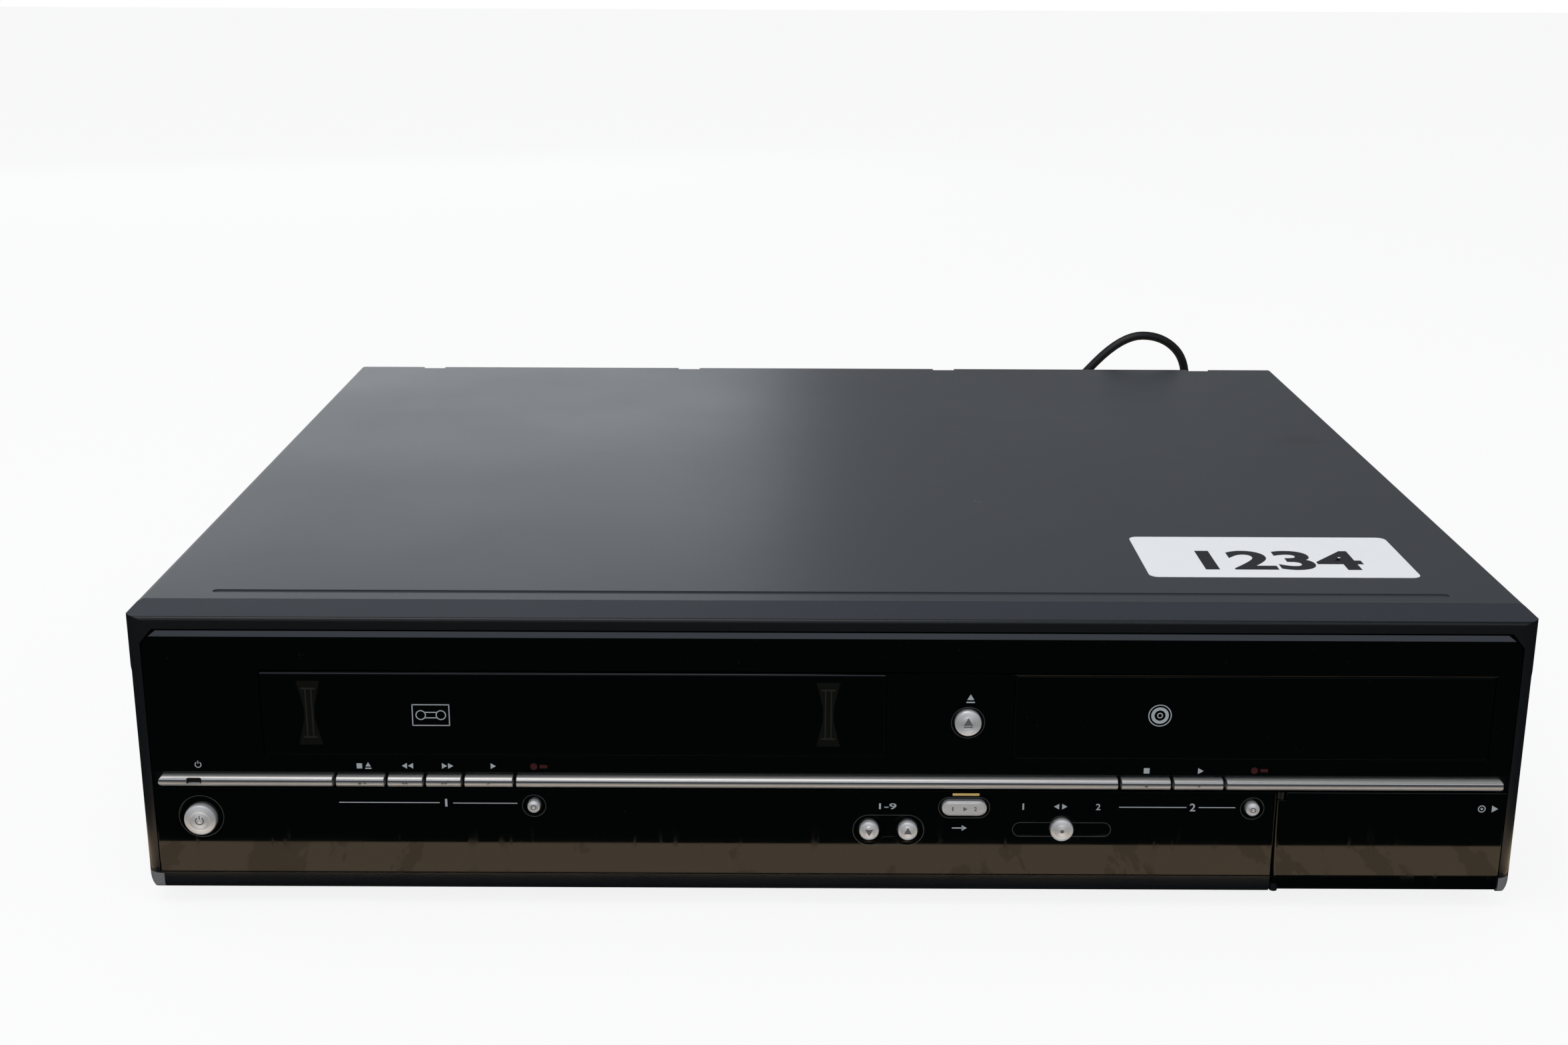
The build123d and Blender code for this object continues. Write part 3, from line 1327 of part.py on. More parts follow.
def rack():
    """Toothed rail under the tray, facing the loader gear."""
    face_x = DRIVE_X + RACK_X
    start = back(DRIVE_START + 8)
    count = round((TRAY_TRAVEL + 16) / RACK_PITCH)
    points = [(face_x + 4, start)]
    for i in range(count):
        y = start + i * RACK_PITCH
        points += [
            (face_x + RACK_TOOTH, y),
            (face_x, y + RACK_PITCH * 0.3),
            (face_x, y + RACK_PITCH * 0.6),
            (face_x + RACK_TOOTH, y + RACK_PITCH * 0.9),
        ]
    points.append((face_x + 4, start + count * RACK_PITCH))
    face = make_face(Polyline(*points, close=True))
    low = up(TRAY_TOP - TRAY_THICK)
    return along_z(face, low - 3, low + 0.5)


def loader_gear():
    """Gear that drives the tray, with a pulley for the belt under its teeth."""
    x, y = gear_place()
    z = up(TRAY_TOP - TRAY_THICK)
    points = []
    for i in range(GEAR_TEETH):
        for share, radius in ((0.0, 0.0), (0.3, RACK_TOOTH), (0.6, RACK_TOOTH), (0.9, 0.0)):
            angle = 2 * math.pi * (i + share) / GEAR_TEETH
            r = GEAR_R - RACK_TOOTH + radius
            points.append((r * math.cos(angle), r * math.sin(angle)))
    teeth = along_z(Pos(x, y) * make_face(Polyline(*points, close=True)), z - 3.5, z - 0.8)
    gear = teeth + rod_z(x, y, 13.5, z - 7.5, z - 4.5) + rod_z(x, y, 6, z - 8, z - 3)
    return gear - rod_z(x, y, POST_R + PIN_GAP, z - 9, z)


def loader_motor():
    """Small motor under the frame's front floor, its shaft standing through a hole."""
    x, y = DRIVE_X - 20, back(DRIVE_START + 20)
    z = up(DRIVE_LOW)
    return rod_z(x, y, 10.5, z - 16, z)


def traverse_place():
    """The traverse is drawn level and raised; at rest it hangs down by its tilt."""
    pivot = Pos(DRIVE_X, back(TRAVERSE_BACK), up(TRAVERSE_HEIGHT))
    return pivot * Rot(TRAVERSE_TILT, 0, 0)


def traverse():
    """Frame that lifts the turntable and carries the pickup on two rods."""
    half = TRAVERSE_WIDTH / 2
    y0, y1 = TRAVERSE_START - TRAVERSE_BACK, 5.0
    z0, z1 = -TRAVERSE_BELOW, TRAVERSE_ABOVE
    frame = block((-half, half), (y0, y1), (z0, z1))
    cy = DISC_BACK - TRAVERSE_BACK
    frame -= block((-half + 2.5, half - 2.5), (y0 + 2.5, y1 - 6), (z0 + 2, z1 + 1))
    frame -= block((-ROD_X - 9, ROD_X + 9), (cy + 15, y1 - 8), (z0 - 1, z1 + 1))
    for sign in (-1, 1):
        x = sign * ROD_X
        frame += rod_y(x, ROD_ABOVE, ROD_R, cy + 12, y1 - 3)
        frame += block((x - 3, x + 3), (cy + 10, cy + 14.5), (z0, ROD_ABOVE + 2.5))
        ends = sorted((sign * (half - 1), sign * (half + 4.8)))
        frame += rod_x(0, 0, TRAVERSE_PIN_R, *ends)
    frame += rod_z(0, cy, SPINDLE_MOTOR_R, z0, MOTOR_ABOVE)
    return traverse_place() * (frame - rod_z(0, cy, SPINDLE_R + PIN_GAP, z0 - 1, z1 + 5))


def turntable():
    """Disc seat on the spindle motor's shaft, with the cone that centres the disc."""
    top = TABLE_TOP - TRAVERSE_HEIGHT
    hub = MOTOR_ABOVE + HOOK_GAP
    profile = [
        (0, 1 - TRAVERSE_BELOW),
        (SPINDLE_R, 1 - TRAVERSE_BELOW),
        (SPINDLE_R, hub),
        (TABLE_R - 4, hub),
        (TABLE_R - 4, hub + 2.7),
        (TABLE_R - 6, top - 2),
        (TABLE_R, top - 2),
        (TABLE_R, top),
        (7.4, top),
        (6.6, top + 2.0),
        (0, top + 2.0),
    ]
    shape = revolve(Plane.XZ * make_face(Polyline(*profile, close=True)), Axis.Z)
    return traverse_place() * Pos(0, DISC_BACK - TRAVERSE_BACK, 0) * shape


def pickup_sled():
    """Laser pickup on its two rods, with the lens standing up towards the disc."""
    start = DISC_BACK - TRAVERSE_BACK + 17
    y = (start, start + SLED_LONG)
    half = ROD_X + 5
    sled = block((-half, half), y, (-SLED_BELOW, SLED_ABOVE))
    sled += rod_z(0, y[0] + 9, 5, SLED_ABOVE, SLED_ABOVE + 5)
    for sign in (-1, 1):
        sled -= rod_y(sign * ROD_X, ROD_ABOVE, ROD_R + PIN_GAP, y[0] - 1, y[1] + 1)
    return traverse_place() * sled


def clamp_bridge():
    """Steel cross plate over the drive, with the hole that the clamp puck hangs in."""
    half = DRIVE_WIDTH / 2
    cx, cy = DRIVE_X, back(DISC_BACK)
    z = up(DRIVE_HIGH)
    bridge = block((cx - half, cx + half), (cy - 18, cy + 18), (z, z + 1.2))
    cup = rod_z(cx, cy, 14.0, z - 6, z + 1.2) - rod_z(cx, cy, 12.8, z - 4.8, z + 2)
    bridge = bridge - rod_z(cx, cy, 12.8, z - 1, z + 2) + cup
    return bridge - rod_z(cx, cy, 7.5, z - 8, z + 2)


def clamp_puck():
    """Magnetic puck that holds the disc down; its collar rests on the bridge's cup."""
    cx, cy = DRIVE_X, back(DISC_BACK)
    z = up(DRIVE_HIGH)
    profile = [
        (0, z - 9.5),
        (7.9, z - 9.5),
        (7.9, z - 11.5),
        (PUCK_R, z - 11.5),
        (PUCK_R, z - 8.5),
        (7.0, z - 8.5),
        (7.0, z - 4.7),
        (11.5, z - 4.7),
        (11.5, z - 3.0),
        (0, z - 3.0),
    ]
    return turned(profile, Pos(cx, cy, 0))


# ---- feet and screws ----
def feet():
    low = up(PAN_FLOOR - PAN_SHEET)
    profile = [
        (0, 0.8),
        (FOOT_R - 4, 0.8),
        (FOOT_R - 3.2, 0),
        (FOOT_R - 1.4, 0),
        (FOOT_R - 0.4, 1.0),
        (FOOT_R, low),
        (0, low),
    ]
    return [
        turned(profile, Pos(sign * FOOT_X, back(y), 0))
        for y in (FOOT_FRONT, FOOT_REAR)
        for sign in (-1, 1)
    ]


def screw():
    """Pan-head screw along +Z, its head's underside at the origin."""
    profile = [
        (0, -6),
        (SCREW_R, -6),
        (SCREW_R, 0),
        (SCREW_HEAD_R, 0),
        (SCREW_HEAD_R, 0.9),
        (SCREW_HEAD_R * 0.6, SCREW_HEAD),
        (0, SCREW_HEAD),
    ]
    head = revolve(Plane.XZ * make_face(Polyline(*profile, close=True)), Axis.Z)
    cross = block((-1.6, 1.6), (-0.35, 0.35), (0.7, 3)) + block((-0.35, 0.35), (-1.6, 1.6), (0.7, 3))
    return head - cross


def case_screws():
    one = screw()
    solids = []
    for y in SIDE_SCREWS:
        for sign in (-1, 1):
            place = Pos(sign * HALF, back(y), up(SIDE_SCREW_HEIGHT))
            solids.append(place * Rot(0, sign * 90, 0) * one)
    for x in REAR_SCREWS:
        solids.append(Pos(x, COVER_BACK, up(REAR_SCREW_HEIGHT)) * Rot(-90, 0, 0) * one)
    return solids


# ---- power cord ----
def cord_gland():
    """Bushing in the rear panel, ribbed and tapered towards the cord."""
    inside = REAR - REAR_SHEET - 6
    profile = [
        (CORD_D / 2, inside),
        (6.2, inside),
        (6.2, REAR - REAR_SHEET - 0.1),
        (5.0, REAR - REAR_SHEET - 0.1),
        (5.0, REAR),
        (6.6, REAR),
        (6.6, REAR + 2),
        (4.6, REAR + 3),
        (4.4, REAR + 5),
        (3.9, REAR + 5.2),
        (3.8, REAR + 7),
        (4.0, REAR + 7.2),
        (3.8, REAR + 9),
        (3.3, REAR + 9.2),
        (3.1, REAR + GLAND_LONG),
        (0, REAR + GLAND_LONG),
        (0, inside + 4),
        (CORD_D / 2, inside + 4),
    ]
    return turned_y(profile, GLAND_X, up(GLAND_HEIGHT))


def cord_points():
    """The free stretch of the cord, from the gland over its arch to the coil."""
    start_y = REAR + GLAND_LONG
    z0 = up(GLAND_HEIGHT)
    end_x, end_y, end_z = coil_top_end()
    return [
        (GLAND_X, start_y, z0),
        (GLAND_X, start_y + 13, z0),
        (GLAND_X + 0.4, start_y + 22.4, z0 + 13),
        (GLAND_X + 1.2, start_y + 17.4, z0 + 41.6),
        (GLAND_X - 12.2, start_y + 15.9, z0 + 55),
        (GLAND_X - 32.2, start_y + 14.9, z0 + 54.8),
        (GLAND_X - 57.2, start_y + 13.9, z0 + 27.8),
        (end_x + 62, end_y + 2.1, end_z + 25.9),
        (end_x + 38, end_y + 1.5, end_z + 9),
        (end_x + 15, end_y, end_z + 0.4),
        (end_x, end_y, end_z),
    ]


def cord_radii(points):
    """Bend radius at each inner point: 0.45 of the shorter run over the tangent of half the turn."""
    radii = []
    for a, b, c in zip(points, points[1:], points[2:]):
        first, second = Vector(*b) - Vector(*a), Vector(*c) - Vector(*b)
        half_turn = math.radians(first.get_angle(second)) / 2
        radii.append(0.45 * min(first.length, second.length) / math.tan(half_turn))
    return radii


def cord_tube():
    points = cord_points()
    radii = cord_radii(points)
    path = FilletPolyline(*points, radius=radii)
    start = Vector(*points[1]) - Vector(*points[0])
    section = Plane(points[0], z_dir=start) * Circle(CORD_D / 2)
    tube = sweep(section, path=path)
    expected = math.pi * (CORD_D / 2) ** 2 * path.length
    print("cord bend radii", [round(r, 1) for r in radii])
    print("cord length", round(path.length, 1), "volume share", round(tube.volume / expected, 4))
    return tube


def coil_centre():
    return COIL_X, REAR + COIL_BACK


def coil_stations():
    """Points and directions each half turn: out to in and in to out, a layer higher each time."""
    cx, cy = coil_centre()
    low = CORD_D / 2 + 0.02
    halves = 2 * LAYER_TURNS
    r_out = COIL_IN_R + LAYER_TURNS * COIL_PITCH
    stations = []
    index = 0
    for layer in range(COIL_LAYERS):
        for k in range(halves + 1):
            share = k / halves if layer % 2 == 0 else 1 - k / halves
            radius = r_out + (COIL_IN_R - r_out) * share
            angle = math.radians(90 + 180 * index)
            place = (
                cx + radius * math.cos(angle),
                cy + radius * math.sin(angle),
                low + layer * COIL_RISE,
            )
            stations.append((place, (-math.sin(angle), math.cos(angle), 0)))
            index += 1
    return stations


def coil_top_end():
    """Where the tube meets the coil: one diameter out along the last turn's direction."""
    (x, y, z), (dx, dy, _) = coil_stations()[-1]
    return x + dx * CORD_D, y + dy * CORD_D, z


def biarc(p0, t0, p1, t1):
    """Two arcs that meet smoothly, from p0 along t0 to p1 along t1."""
    p0, t0, p1, t1 = Vector(*p0), Vector(*t0), Vector(*p1), Vector(*t1)
    v = p1 - p0
    t = t0 + t1
    bend = 2 * (1 - t0.dot(t1))
    if bend < 1e-9:
        d = v.dot(v) / (4 * v.dot(t1))
    else:
        d = (-v.dot(t) + math.sqrt(v.dot(t) ** 2 + bend * v.dot(v))) / bend
    q0, q1 = p0 + t0 * d, p1 - t1 * d
    middle = (q0 + q1) * 0.5
    return [
        TangentArc(p0, middle, tangent=t0),
        TangentArc(middle, p1, tangent=(q1 - q0).normalized()),
    ]


def cord_coil():
    """The put-away length, wound in four layers, with its lower end led to the plug."""
    stations = coil_stations()
    (x, y, z), _ = stations[0]
    plug_z = PLUG_THICK / 2
    plug_x, _ = plug_face()
    ahead = (-1, 0, 0)
    edges = [Line((plug_x, y, plug_z), (plug_x - CORD_D, y, plug_z))]
    edges += biarc((plug_x - CORD_D, y, plug_z), ahead, (x + CORD_D, y, z), ahead)
    edges.append(Line((x + CORD_D, y, z), (x, y, z)))
    for (p0, t0), (p1, t1) in zip(stations, stations[1:]):
        edges += biarc(p0, t0, p1, t1)
    last, _ = stations[-1]
    edges.append(Line(last, coil_top_end()))
    path = Wire(edges)
    section = Plane((plug_x, y, plug_z), z_dir=ahead) * Circle(CORD_D / 2)
    coil = sweep(section, path=path)
    print("coil length", round(path.length, 1), "least gap", round(self_gap(path), 2))
    return coil


def self_gap(path):
    """Least clear space between the cord and itself, measured on points along its path."""
    count = int(path.length / 2.0)
    places = [path.position_at(i / count) for i in range(count + 1)]
    skip = int(4 * CORD_D / 2.0)
    least = path.length
    for i, a in enumerate(places):
        for b in places[i + skip :]:
            least = min(least, (a - b).length)
    return least - CORD_D


def plug_face():
    """x and y of the face of the plug that the coil's lead meets."""
    x, y = coil_centre()
    return x + 34.0, y + COIL_IN_R + LAYER_TURNS * COIL_PITCH


def plug():
    """Moulded two-blade plug with a tapered boot, lying flat beside the coil."""
    x, y = plug_face()
    z = PLUG_THICK / 2
    boot = [(x, 2.6), (x + 20, 4.4), (x + 20, 0), (x, 0)]
    boot_face = make_face(Polyline(*boot, close=True))
    shape = Pos(0, y, z) * revolve(boot_face, Axis.X)
    far = x + 18 + PLUG_LONG
    face = outline(
        [
            (x + 18, y - 7),
            (x + 24, y - PLUG_WIDE / 2),
            (far, y - PLUG_WIDE / 2),
            (far, y + PLUG_WIDE / 2),
            (x + 24, y + PLUG_WIDE / 2),
            (x + 18, y + 7),
        ],
        [1.5, 4.0, 1.5, 1.5, 4.0, 1.5],
    )
    shape += along_z(face, 0.02, PLUG_THICK)
    for sign in (-1, 1):
        blade_y = y + sign * 6.35
        shape += block((far - 1, far + 17), (blade_y - 0.75, blade_y + 0.75), (z - 3.2, z + 3.2))
    return shape


def build():
    save("base_pan", base_pan())
    save("rear_panel", rear_panel())
    save("top_cover", top_cover())
    save("front_bezel", front_bezel())
    save("upper_window", upper_window())
    save("lower_window", lower_window())
    save("silver_trims", Compound(trims()))
    for name, x in keys().items():
        save(name, strip_key(x))
    for name, (x, height, radius) in round_buttons().items():
        save(name, round_button(x, height, radius))
    save("dubbing_button", dubbing_button())
    save("cassette_door", cassette_door())
    save("tray_front", tray_front())
    save("av_flap", av_flap())
    save("front_board", front_board())
    save("display_tube", display_tube())
    save("front_sockets", front_sockets())
    save("main_board", board_parts(main_board_x(), "main"))
    save("power_board", board_parts(power_board_x(), "power"))
    save("rear_av_sockets", rear_av_sockets())
    save("aerial_sockets", aerial_sockets())
    save("digital_sockets", Compound(digital_sockets()))
    save("deck_plate", deck_plate())
    save("carriage_frame", carriage_frame())
    save("cassette_holder", Compound(cassette_holder()))
    save("lower_drum", lower_drum())
    save("upper_drum", upper_drum())
    save("capstan", capstan())
    save("pinch_arm", pinch_arm())
    save("pinch_roller", pinch_roller())
    save("supply_reel_table", reel_table(-1))
    save("takeup_reel_table", reel_table(1))
    save("supply_guide", guide_block(-1))
    save("takeup_guide", guide_block(1))
    save("loading_motor", loading_motor())
    save("drive_frame", drive_frame())
    save("disc_tray", disc_tray())
    save("loader_gear", loader_gear())
    save("loader_motor", loader_motor())
    save("traverse", traverse())
    save("turntable", turntable())
    save("pickup_sled", pickup_sled())
    save("clamp_bridge", clamp_bridge())
    save("clamp_puck", clamp_puck())
    save("feet", Compound(feet()))
    save("case_screws", Compound(case_screws()))
    save("cord_gland", cord_gland())
    save("cord_tube", cord_tube())
    save("cord_coil", cord_coil())
    save("plug", plug())


os.makedirs("parts", exist_ok=True)
build()
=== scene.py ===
import math

import bmesh
import bpy
from mathutils import Matrix, Vector


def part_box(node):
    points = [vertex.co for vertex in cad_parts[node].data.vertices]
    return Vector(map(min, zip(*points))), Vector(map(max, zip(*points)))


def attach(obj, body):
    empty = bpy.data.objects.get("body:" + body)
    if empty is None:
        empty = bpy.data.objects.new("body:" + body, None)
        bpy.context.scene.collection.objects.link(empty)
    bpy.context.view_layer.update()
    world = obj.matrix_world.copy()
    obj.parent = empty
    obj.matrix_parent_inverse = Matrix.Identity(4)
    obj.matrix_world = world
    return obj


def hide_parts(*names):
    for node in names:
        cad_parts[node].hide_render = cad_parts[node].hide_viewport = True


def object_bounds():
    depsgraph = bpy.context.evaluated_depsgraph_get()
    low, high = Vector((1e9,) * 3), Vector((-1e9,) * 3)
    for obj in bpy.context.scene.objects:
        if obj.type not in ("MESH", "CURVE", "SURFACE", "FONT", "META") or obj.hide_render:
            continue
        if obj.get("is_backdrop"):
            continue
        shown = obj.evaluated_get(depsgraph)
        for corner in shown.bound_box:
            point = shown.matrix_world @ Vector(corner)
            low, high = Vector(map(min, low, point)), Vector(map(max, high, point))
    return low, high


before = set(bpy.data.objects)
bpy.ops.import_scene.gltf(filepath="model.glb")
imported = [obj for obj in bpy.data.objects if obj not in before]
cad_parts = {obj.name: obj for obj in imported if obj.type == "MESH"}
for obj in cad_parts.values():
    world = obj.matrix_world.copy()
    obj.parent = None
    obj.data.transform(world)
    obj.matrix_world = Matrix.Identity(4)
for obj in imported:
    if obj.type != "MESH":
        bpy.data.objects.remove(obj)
cad_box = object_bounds()
scene = bpy.context.scene
scene.view_settings.view_transform = "Standard"

# ---- camera ----
# The player is seen from a little above and in front, slightly to the left of its middle.
CAMERA_PLACE = (-0.01443, -0.75203, 0.29666)
CAMERA_TURN = (0.0321, 73.423, 0.2197)  # degrees: round up, then tilt, then roll
LENS = 45.9

camera_data = bpy.data.cameras.new("camera")
camera_data.lens = LENS
camera_data.sensor_width = 36.0
camera_data.sensor_fit = "HORIZONTAL"
camera_data.clip_start = 0.01
camera = bpy.data.objects.new("camera", camera_data)
scene.collection.objects.link(camera)
turn_z, tilt_x, roll_z = (math.radians(angle) for angle in CAMERA_TURN)
camera.matrix_world = (
    Matrix.Translation(CAMERA_PLACE)
    @ Matrix.Rotation(turn_z, 4, "Z")
    @ Matrix.Rotation(tilt_x, 4, "X")
    @ Matrix.Rotation(roll_z, 4, "Z")
)
scene.camera = camera


# ---- floor ----
# A pale tabletop under a white background. Polished parts see only the strip of it that lies
# close round the player, where it glows for them, with a band painted dark next to the player as
# its shadow; further off they see a dim room.
class Wire:
    """One output of a node; sums of wires add Math nodes to the same finish."""

    def __init__(self, finish, socket):
        self.finish = finish
        self.socket = socket

    def maths(self, operation, *others):
        values = dict(enumerate((self, *others)))
        return self.finish.node("ShaderNodeMath", {"operation": operation}, values)

    def __add__(self, other):
        return self.maths("ADD", other)

    def __sub__(self, other):
        return self.maths("SUBTRACT", other)

    def __rsub__(self, other):
        return self.maths("MULTIPLY_ADD", -1.0, other)

    def __mul__(self, other):
        return self.maths("MULTIPLY", other)

    def __truediv__(self, other):
        return self.maths("DIVIDE", other)

    def __pow__(self, other):
        return self.maths("POWER", other)

    def __gt__(self, other):
        return self.maths("GREATER_THAN", other)

    def __lt__(self, other):
        return self.maths("LESS_THAN", other)

    def __abs__(self):
        return self.maths("ABSOLUTE")

    def up_to(self, other):
        return self.maths("MINIMUM", other)

    def at_least(self, other):
        return self.maths("MAXIMUM", other)

    def within(self, low, high):
        return (self > low) * (self < high)

    __radd__ = __add__
    __rmul__ = __mul__


class Finish:
    """A material or world whose nodes are all added by one method."""

    def __init__(self, name, holder=None, **shader):
        self.holder = holder or bpy.data.materials.new(name)
        self.holder.use_nodes = True
        self.tree = self.holder.node_tree
        self.main = self.tree.nodes.get("Principled BSDF")
        self.feed(self.main, {key.replace("_", " "): value for key, value in shader.items()})

    def feed(self, node, inputs):
        for key, value in inputs.items():
            if isinstance(value, Wire):
                self.tree.links.new(value.socket, node.inputs[key])
            elif isinstance(value, (tuple, list)) and len(value) == 3:
                colour = node.inputs[key].type == "RGBA"
                node.inputs[key].default_value = (*value, 1.0) if colour else value
            else:
                node.inputs[key].default_value = value

    def node(self, kind, settings=None, inputs=None, output=0):
        node = self.tree.nodes.new(kind)
        for key, value in (settings or {}).items():
            if key != "stops":
                setattr(node, key, value)
                continue
            ramp = node.color_ramp.elements
            while len(ramp) < len(value):
                ramp.new(0.5)
            for stop, (place, colour) in zip(ramp, value):
                stop.position = place
                stop.color = (*colour, 1.0)
        self.feed(node, inputs or {})
        return Wire(self, node.outputs[output])

    def axes(self):
        """x, y and z of a point of the player, in metres."""
        place = self.node("ShaderNodeTexCoord", output="Object")
        return [self.node("ShaderNodeSeparateXYZ", {}, {0: place}, i) for i in range(3)]

    def grain(self, scale, detail=3.0, roughness=0.5, stretch=(1, 1, 1), output=0):
        """Noise from 0 to 1 over the player; scale is in grains a metre."""
        place = self.node("ShaderNodeTexCoord", output="Object")
        place = self.node("ShaderNodeMapping", {}, {"Vector": place, "Scale": stretch})
        settings = {"noise_dimensions": "3D"}
        inputs = {"Vector": place, "Scale": scale, "Detail": detail, "Roughness": roughness}
        return self.node("ShaderNodeTexNoise", settings, inputs, output)

    def blend(self, share, first, second):
        """A colour between two, by a share from 0 to 1."""
        inputs = {0: share, 6: first, 7: second}
        return self.node("ShaderNodeMix", {"data_type": "RGBA"}, inputs, 2)

    def relief(self, height, strength, distance):
        inputs = {"Height": height, "Strength": strength, "Distance": distance}
        return self.node("ShaderNodeBump", {}, inputs)

    def set(self, **shader):
        self.feed(self.main, {key.replace("_", " "): value for key, value in shader.items()})


FLOOR_SIZE = 14.0
TABLE_REACH = 0.0445  # how far round the player polished parts see the tabletop
# painted shadow: out to this distance round the player the floor glows dark for polished parts
PAINTED_SHADOW_REACH = 0.0226  # and how far it lies in the player's own shadow
TABLE_COLOUR = (0.97, 0.74, 0.50)
TABLE_STAIN = (0.62, 0.46, 0.30)
ROOM_COLOUR = (0.006, 0.009, 0.010)

floor_mesh = bpy.data.meshes.new("floor")
shape = bmesh.new()
bmesh.ops.create_grid(shape, x_segments=1, y_segments=1, size=FLOOR_SIZE / 2)
shape.to_mesh(floor_mesh)
shape.free()
floor = bpy.data.objects.new("floor", floor_mesh)
scene.collection.objects.link(floor)
finish = Finish(
    "pale_floor", Base_Color=(0.86, 0.86, 0.86), Roughness=0.9, Specular_IOR_Level=0.0
)
x, y, _ = finish.axes()
low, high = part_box("front_bezel")[0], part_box("top_cover")[1]
off_x = abs(x) - high.x
off_y = abs(y - (low.y + high.y) / 2) - (high.y - low.y) / 2
off = off_x.at_least(off_y)
# the tabletop strip glows only outside the painted shadow band next to the player
outside_painted_shadow = off.within(PAINTED_SHADOW_REACH, TABLE_REACH)
stain = finish.grain(26, 5.0, 0.7, stretch=(1, 0.25, 1)) > 0.56
wood = finish.blend(0.55 * stain, TABLE_COLOUR, TABLE_STAIN)
seen = finish.blend(outside_painted_shadow, ROOM_COLOUR, wood)
table_light = finish.node("ShaderNodeEmission", {}, {"Color": seen, "Strength": 1.3})
paper_light = finish.node("ShaderNodeEmission", {}, {"Color": (1, 1, 1), "Strength": 1.0})
is_camera = finish.node("ShaderNodeLightPath", output="Is Camera Ray")
is_glossy = finish.node("ShaderNodeLightPath", output="Is Glossy Ray")
is_clear = finish.node("ShaderNodeLightPath", output="Is Transmission Ray")
plain = Wire(finish, finish.main.outputs[0])
below = finish.node("ShaderNodeNewGeometry", output="Backfacing")
open_air = finish.node("ShaderNodeBsdfTransparent")
whole = plain
for share, other in (
    (0.86 * is_camera, paper_light),
    (is_glossy + is_clear, table_light),
    (below, open_air),
):
    whole = finish.node("ShaderNodeMixShader", {}, {0: share, 1: whole, 2: other})
finish.feed(finish.tree.nodes["Material Output"], {"Surface": whole})
floor_mesh.materials.append(finish.holder)
floor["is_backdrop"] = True

# ---- studio light ----
# A white background, a dim room for reflections with a paler wall behind the player, and soft
# boxes above, in front and behind to the left.
world = bpy.data.worlds.new("studio")
scene.world = world
studio = Finish("studio", world)
background = studio.tree.nodes["Background"]
way = studio.node("ShaderNodeTexCoord", output="Generated")
dx, dy, dz = [studio.node("ShaderNodeSeparateXYZ", {}, {0: way}, i) for i in range(3)]
rear_wall = (dy * 1.4).up_to(1.0).at_least(0.0)
left_side = (0.80 - 1.3 * dx).up_to(1.2).at_least(0.3)
wall = studio.node(
    "ShaderNodeValToRGB",
    {
        "stops": [
            (0.0, (0.24, 0.245, 0.25)),
            (0.20, (0.35, 0.365, 0.39)),
            (0.32, (0.135, 0.145, 0.165)),
            (0.62, (0.10, 0.11, 0.125)),
            (1.0, (0.05, 0.05, 0.055)),
        ]
    },
    {0: dz},
)
shade = rear_wall * left_side + 0.35
room = studio.blend(shade, (0.02, 0.022, 0.024), wall)
sees = studio.node("ShaderNodeLightPath", output="Is Camera Ray")
gloss = studio.node("ShaderNodeLightPath", output="Is Glossy Ray")
colour = studio.blend(gloss, (0.62, 0.63, 0.64), room)
colour = studio.blend(sees, colour, (1.0, 1.0, 1.0))
studio.feed(background, {"Color": colour, "Strength": 1.0})

# Each soft box has its place, the point that it faces, its size, power and colour.
SOFT_BOXES = {
    "top_box": ((-0.3, -0.5, 1.7), (0, -0.05, 0), (1.3, 1.0), 10.0, (1.0, 0.99, 0.97)),
    "front_box": ((-0.3, -2.2, 1.45), (0, -0.18, 0.05), (3.6, 0.7), 10.0, (0.74, 0.84, 1.0)),
    "rear_box": ((-0.65, 1.9, 0.49), (-0.1, 0, 0.09), (1.3, 0.34), 2.4, (0.92, 0.96, 1.0)),
}
for name, (place, target, size, power, tint) in SOFT_BOXES.items():
    light = bpy.data.lights.new(name, "AREA")
    light.shape = "RECTANGLE"
    light.size, light.size_y = size
    light.energy = power
    light.color = tint
    lamp = bpy.data.objects.new(name, light)
    scene.collection.objects.link(lamp)
    aim = (Vector(target) - Vector(place)).to_track_quat("-Z", "Y")
    lamp.matrix_world = Matrix.Translation(place) @ aim.to_matrix().to_4x4()


# ---- mains lead ----
# A thin black vinyl lead: it comes out of a bushing in the rear panel, arches up over the cover's
# edge, and its spare length is wound behind the player with the plug beside it.
LEAD = 0.004
LEAD_ROUTE = [
    (0.1800, 0.1861, 0.0530),
    (0.1800, 0.1991, 0.0530),
    (0.1804, 0.2085, 0.0660),
    (0.1812, 0.2035, 0.0946),
    (0.1678, 0.2020, 0.1080),
    (0.1478, 0.2010, 0.1078),
    (0.1228, 0.2000, 0.0808),
    (0.0860, 0.1980, 0.0420),
    (0.0620, 0.1974, 0.0251),
    (0.0390, 0.1959, 0.0165),
]
LEAD_TO_PLUG = [(0.0290, 0.2503, 0.00205), (0.0400, 0.2503, 0.0048), (0.0540, 0.2503, 0.0070)]
COIL_CENTRE = (0.020, 0.2231)
COIL_LOW = 0.00202  # height of the lowest turns' middle
COIL_INNER = 0.0166
COIL_PITCH = 0.0053
COIL_RISE = 0.0047
COIL_LAYERS = 4
LAYER_TURNS = 2
POINTS_PER_TURN = 16


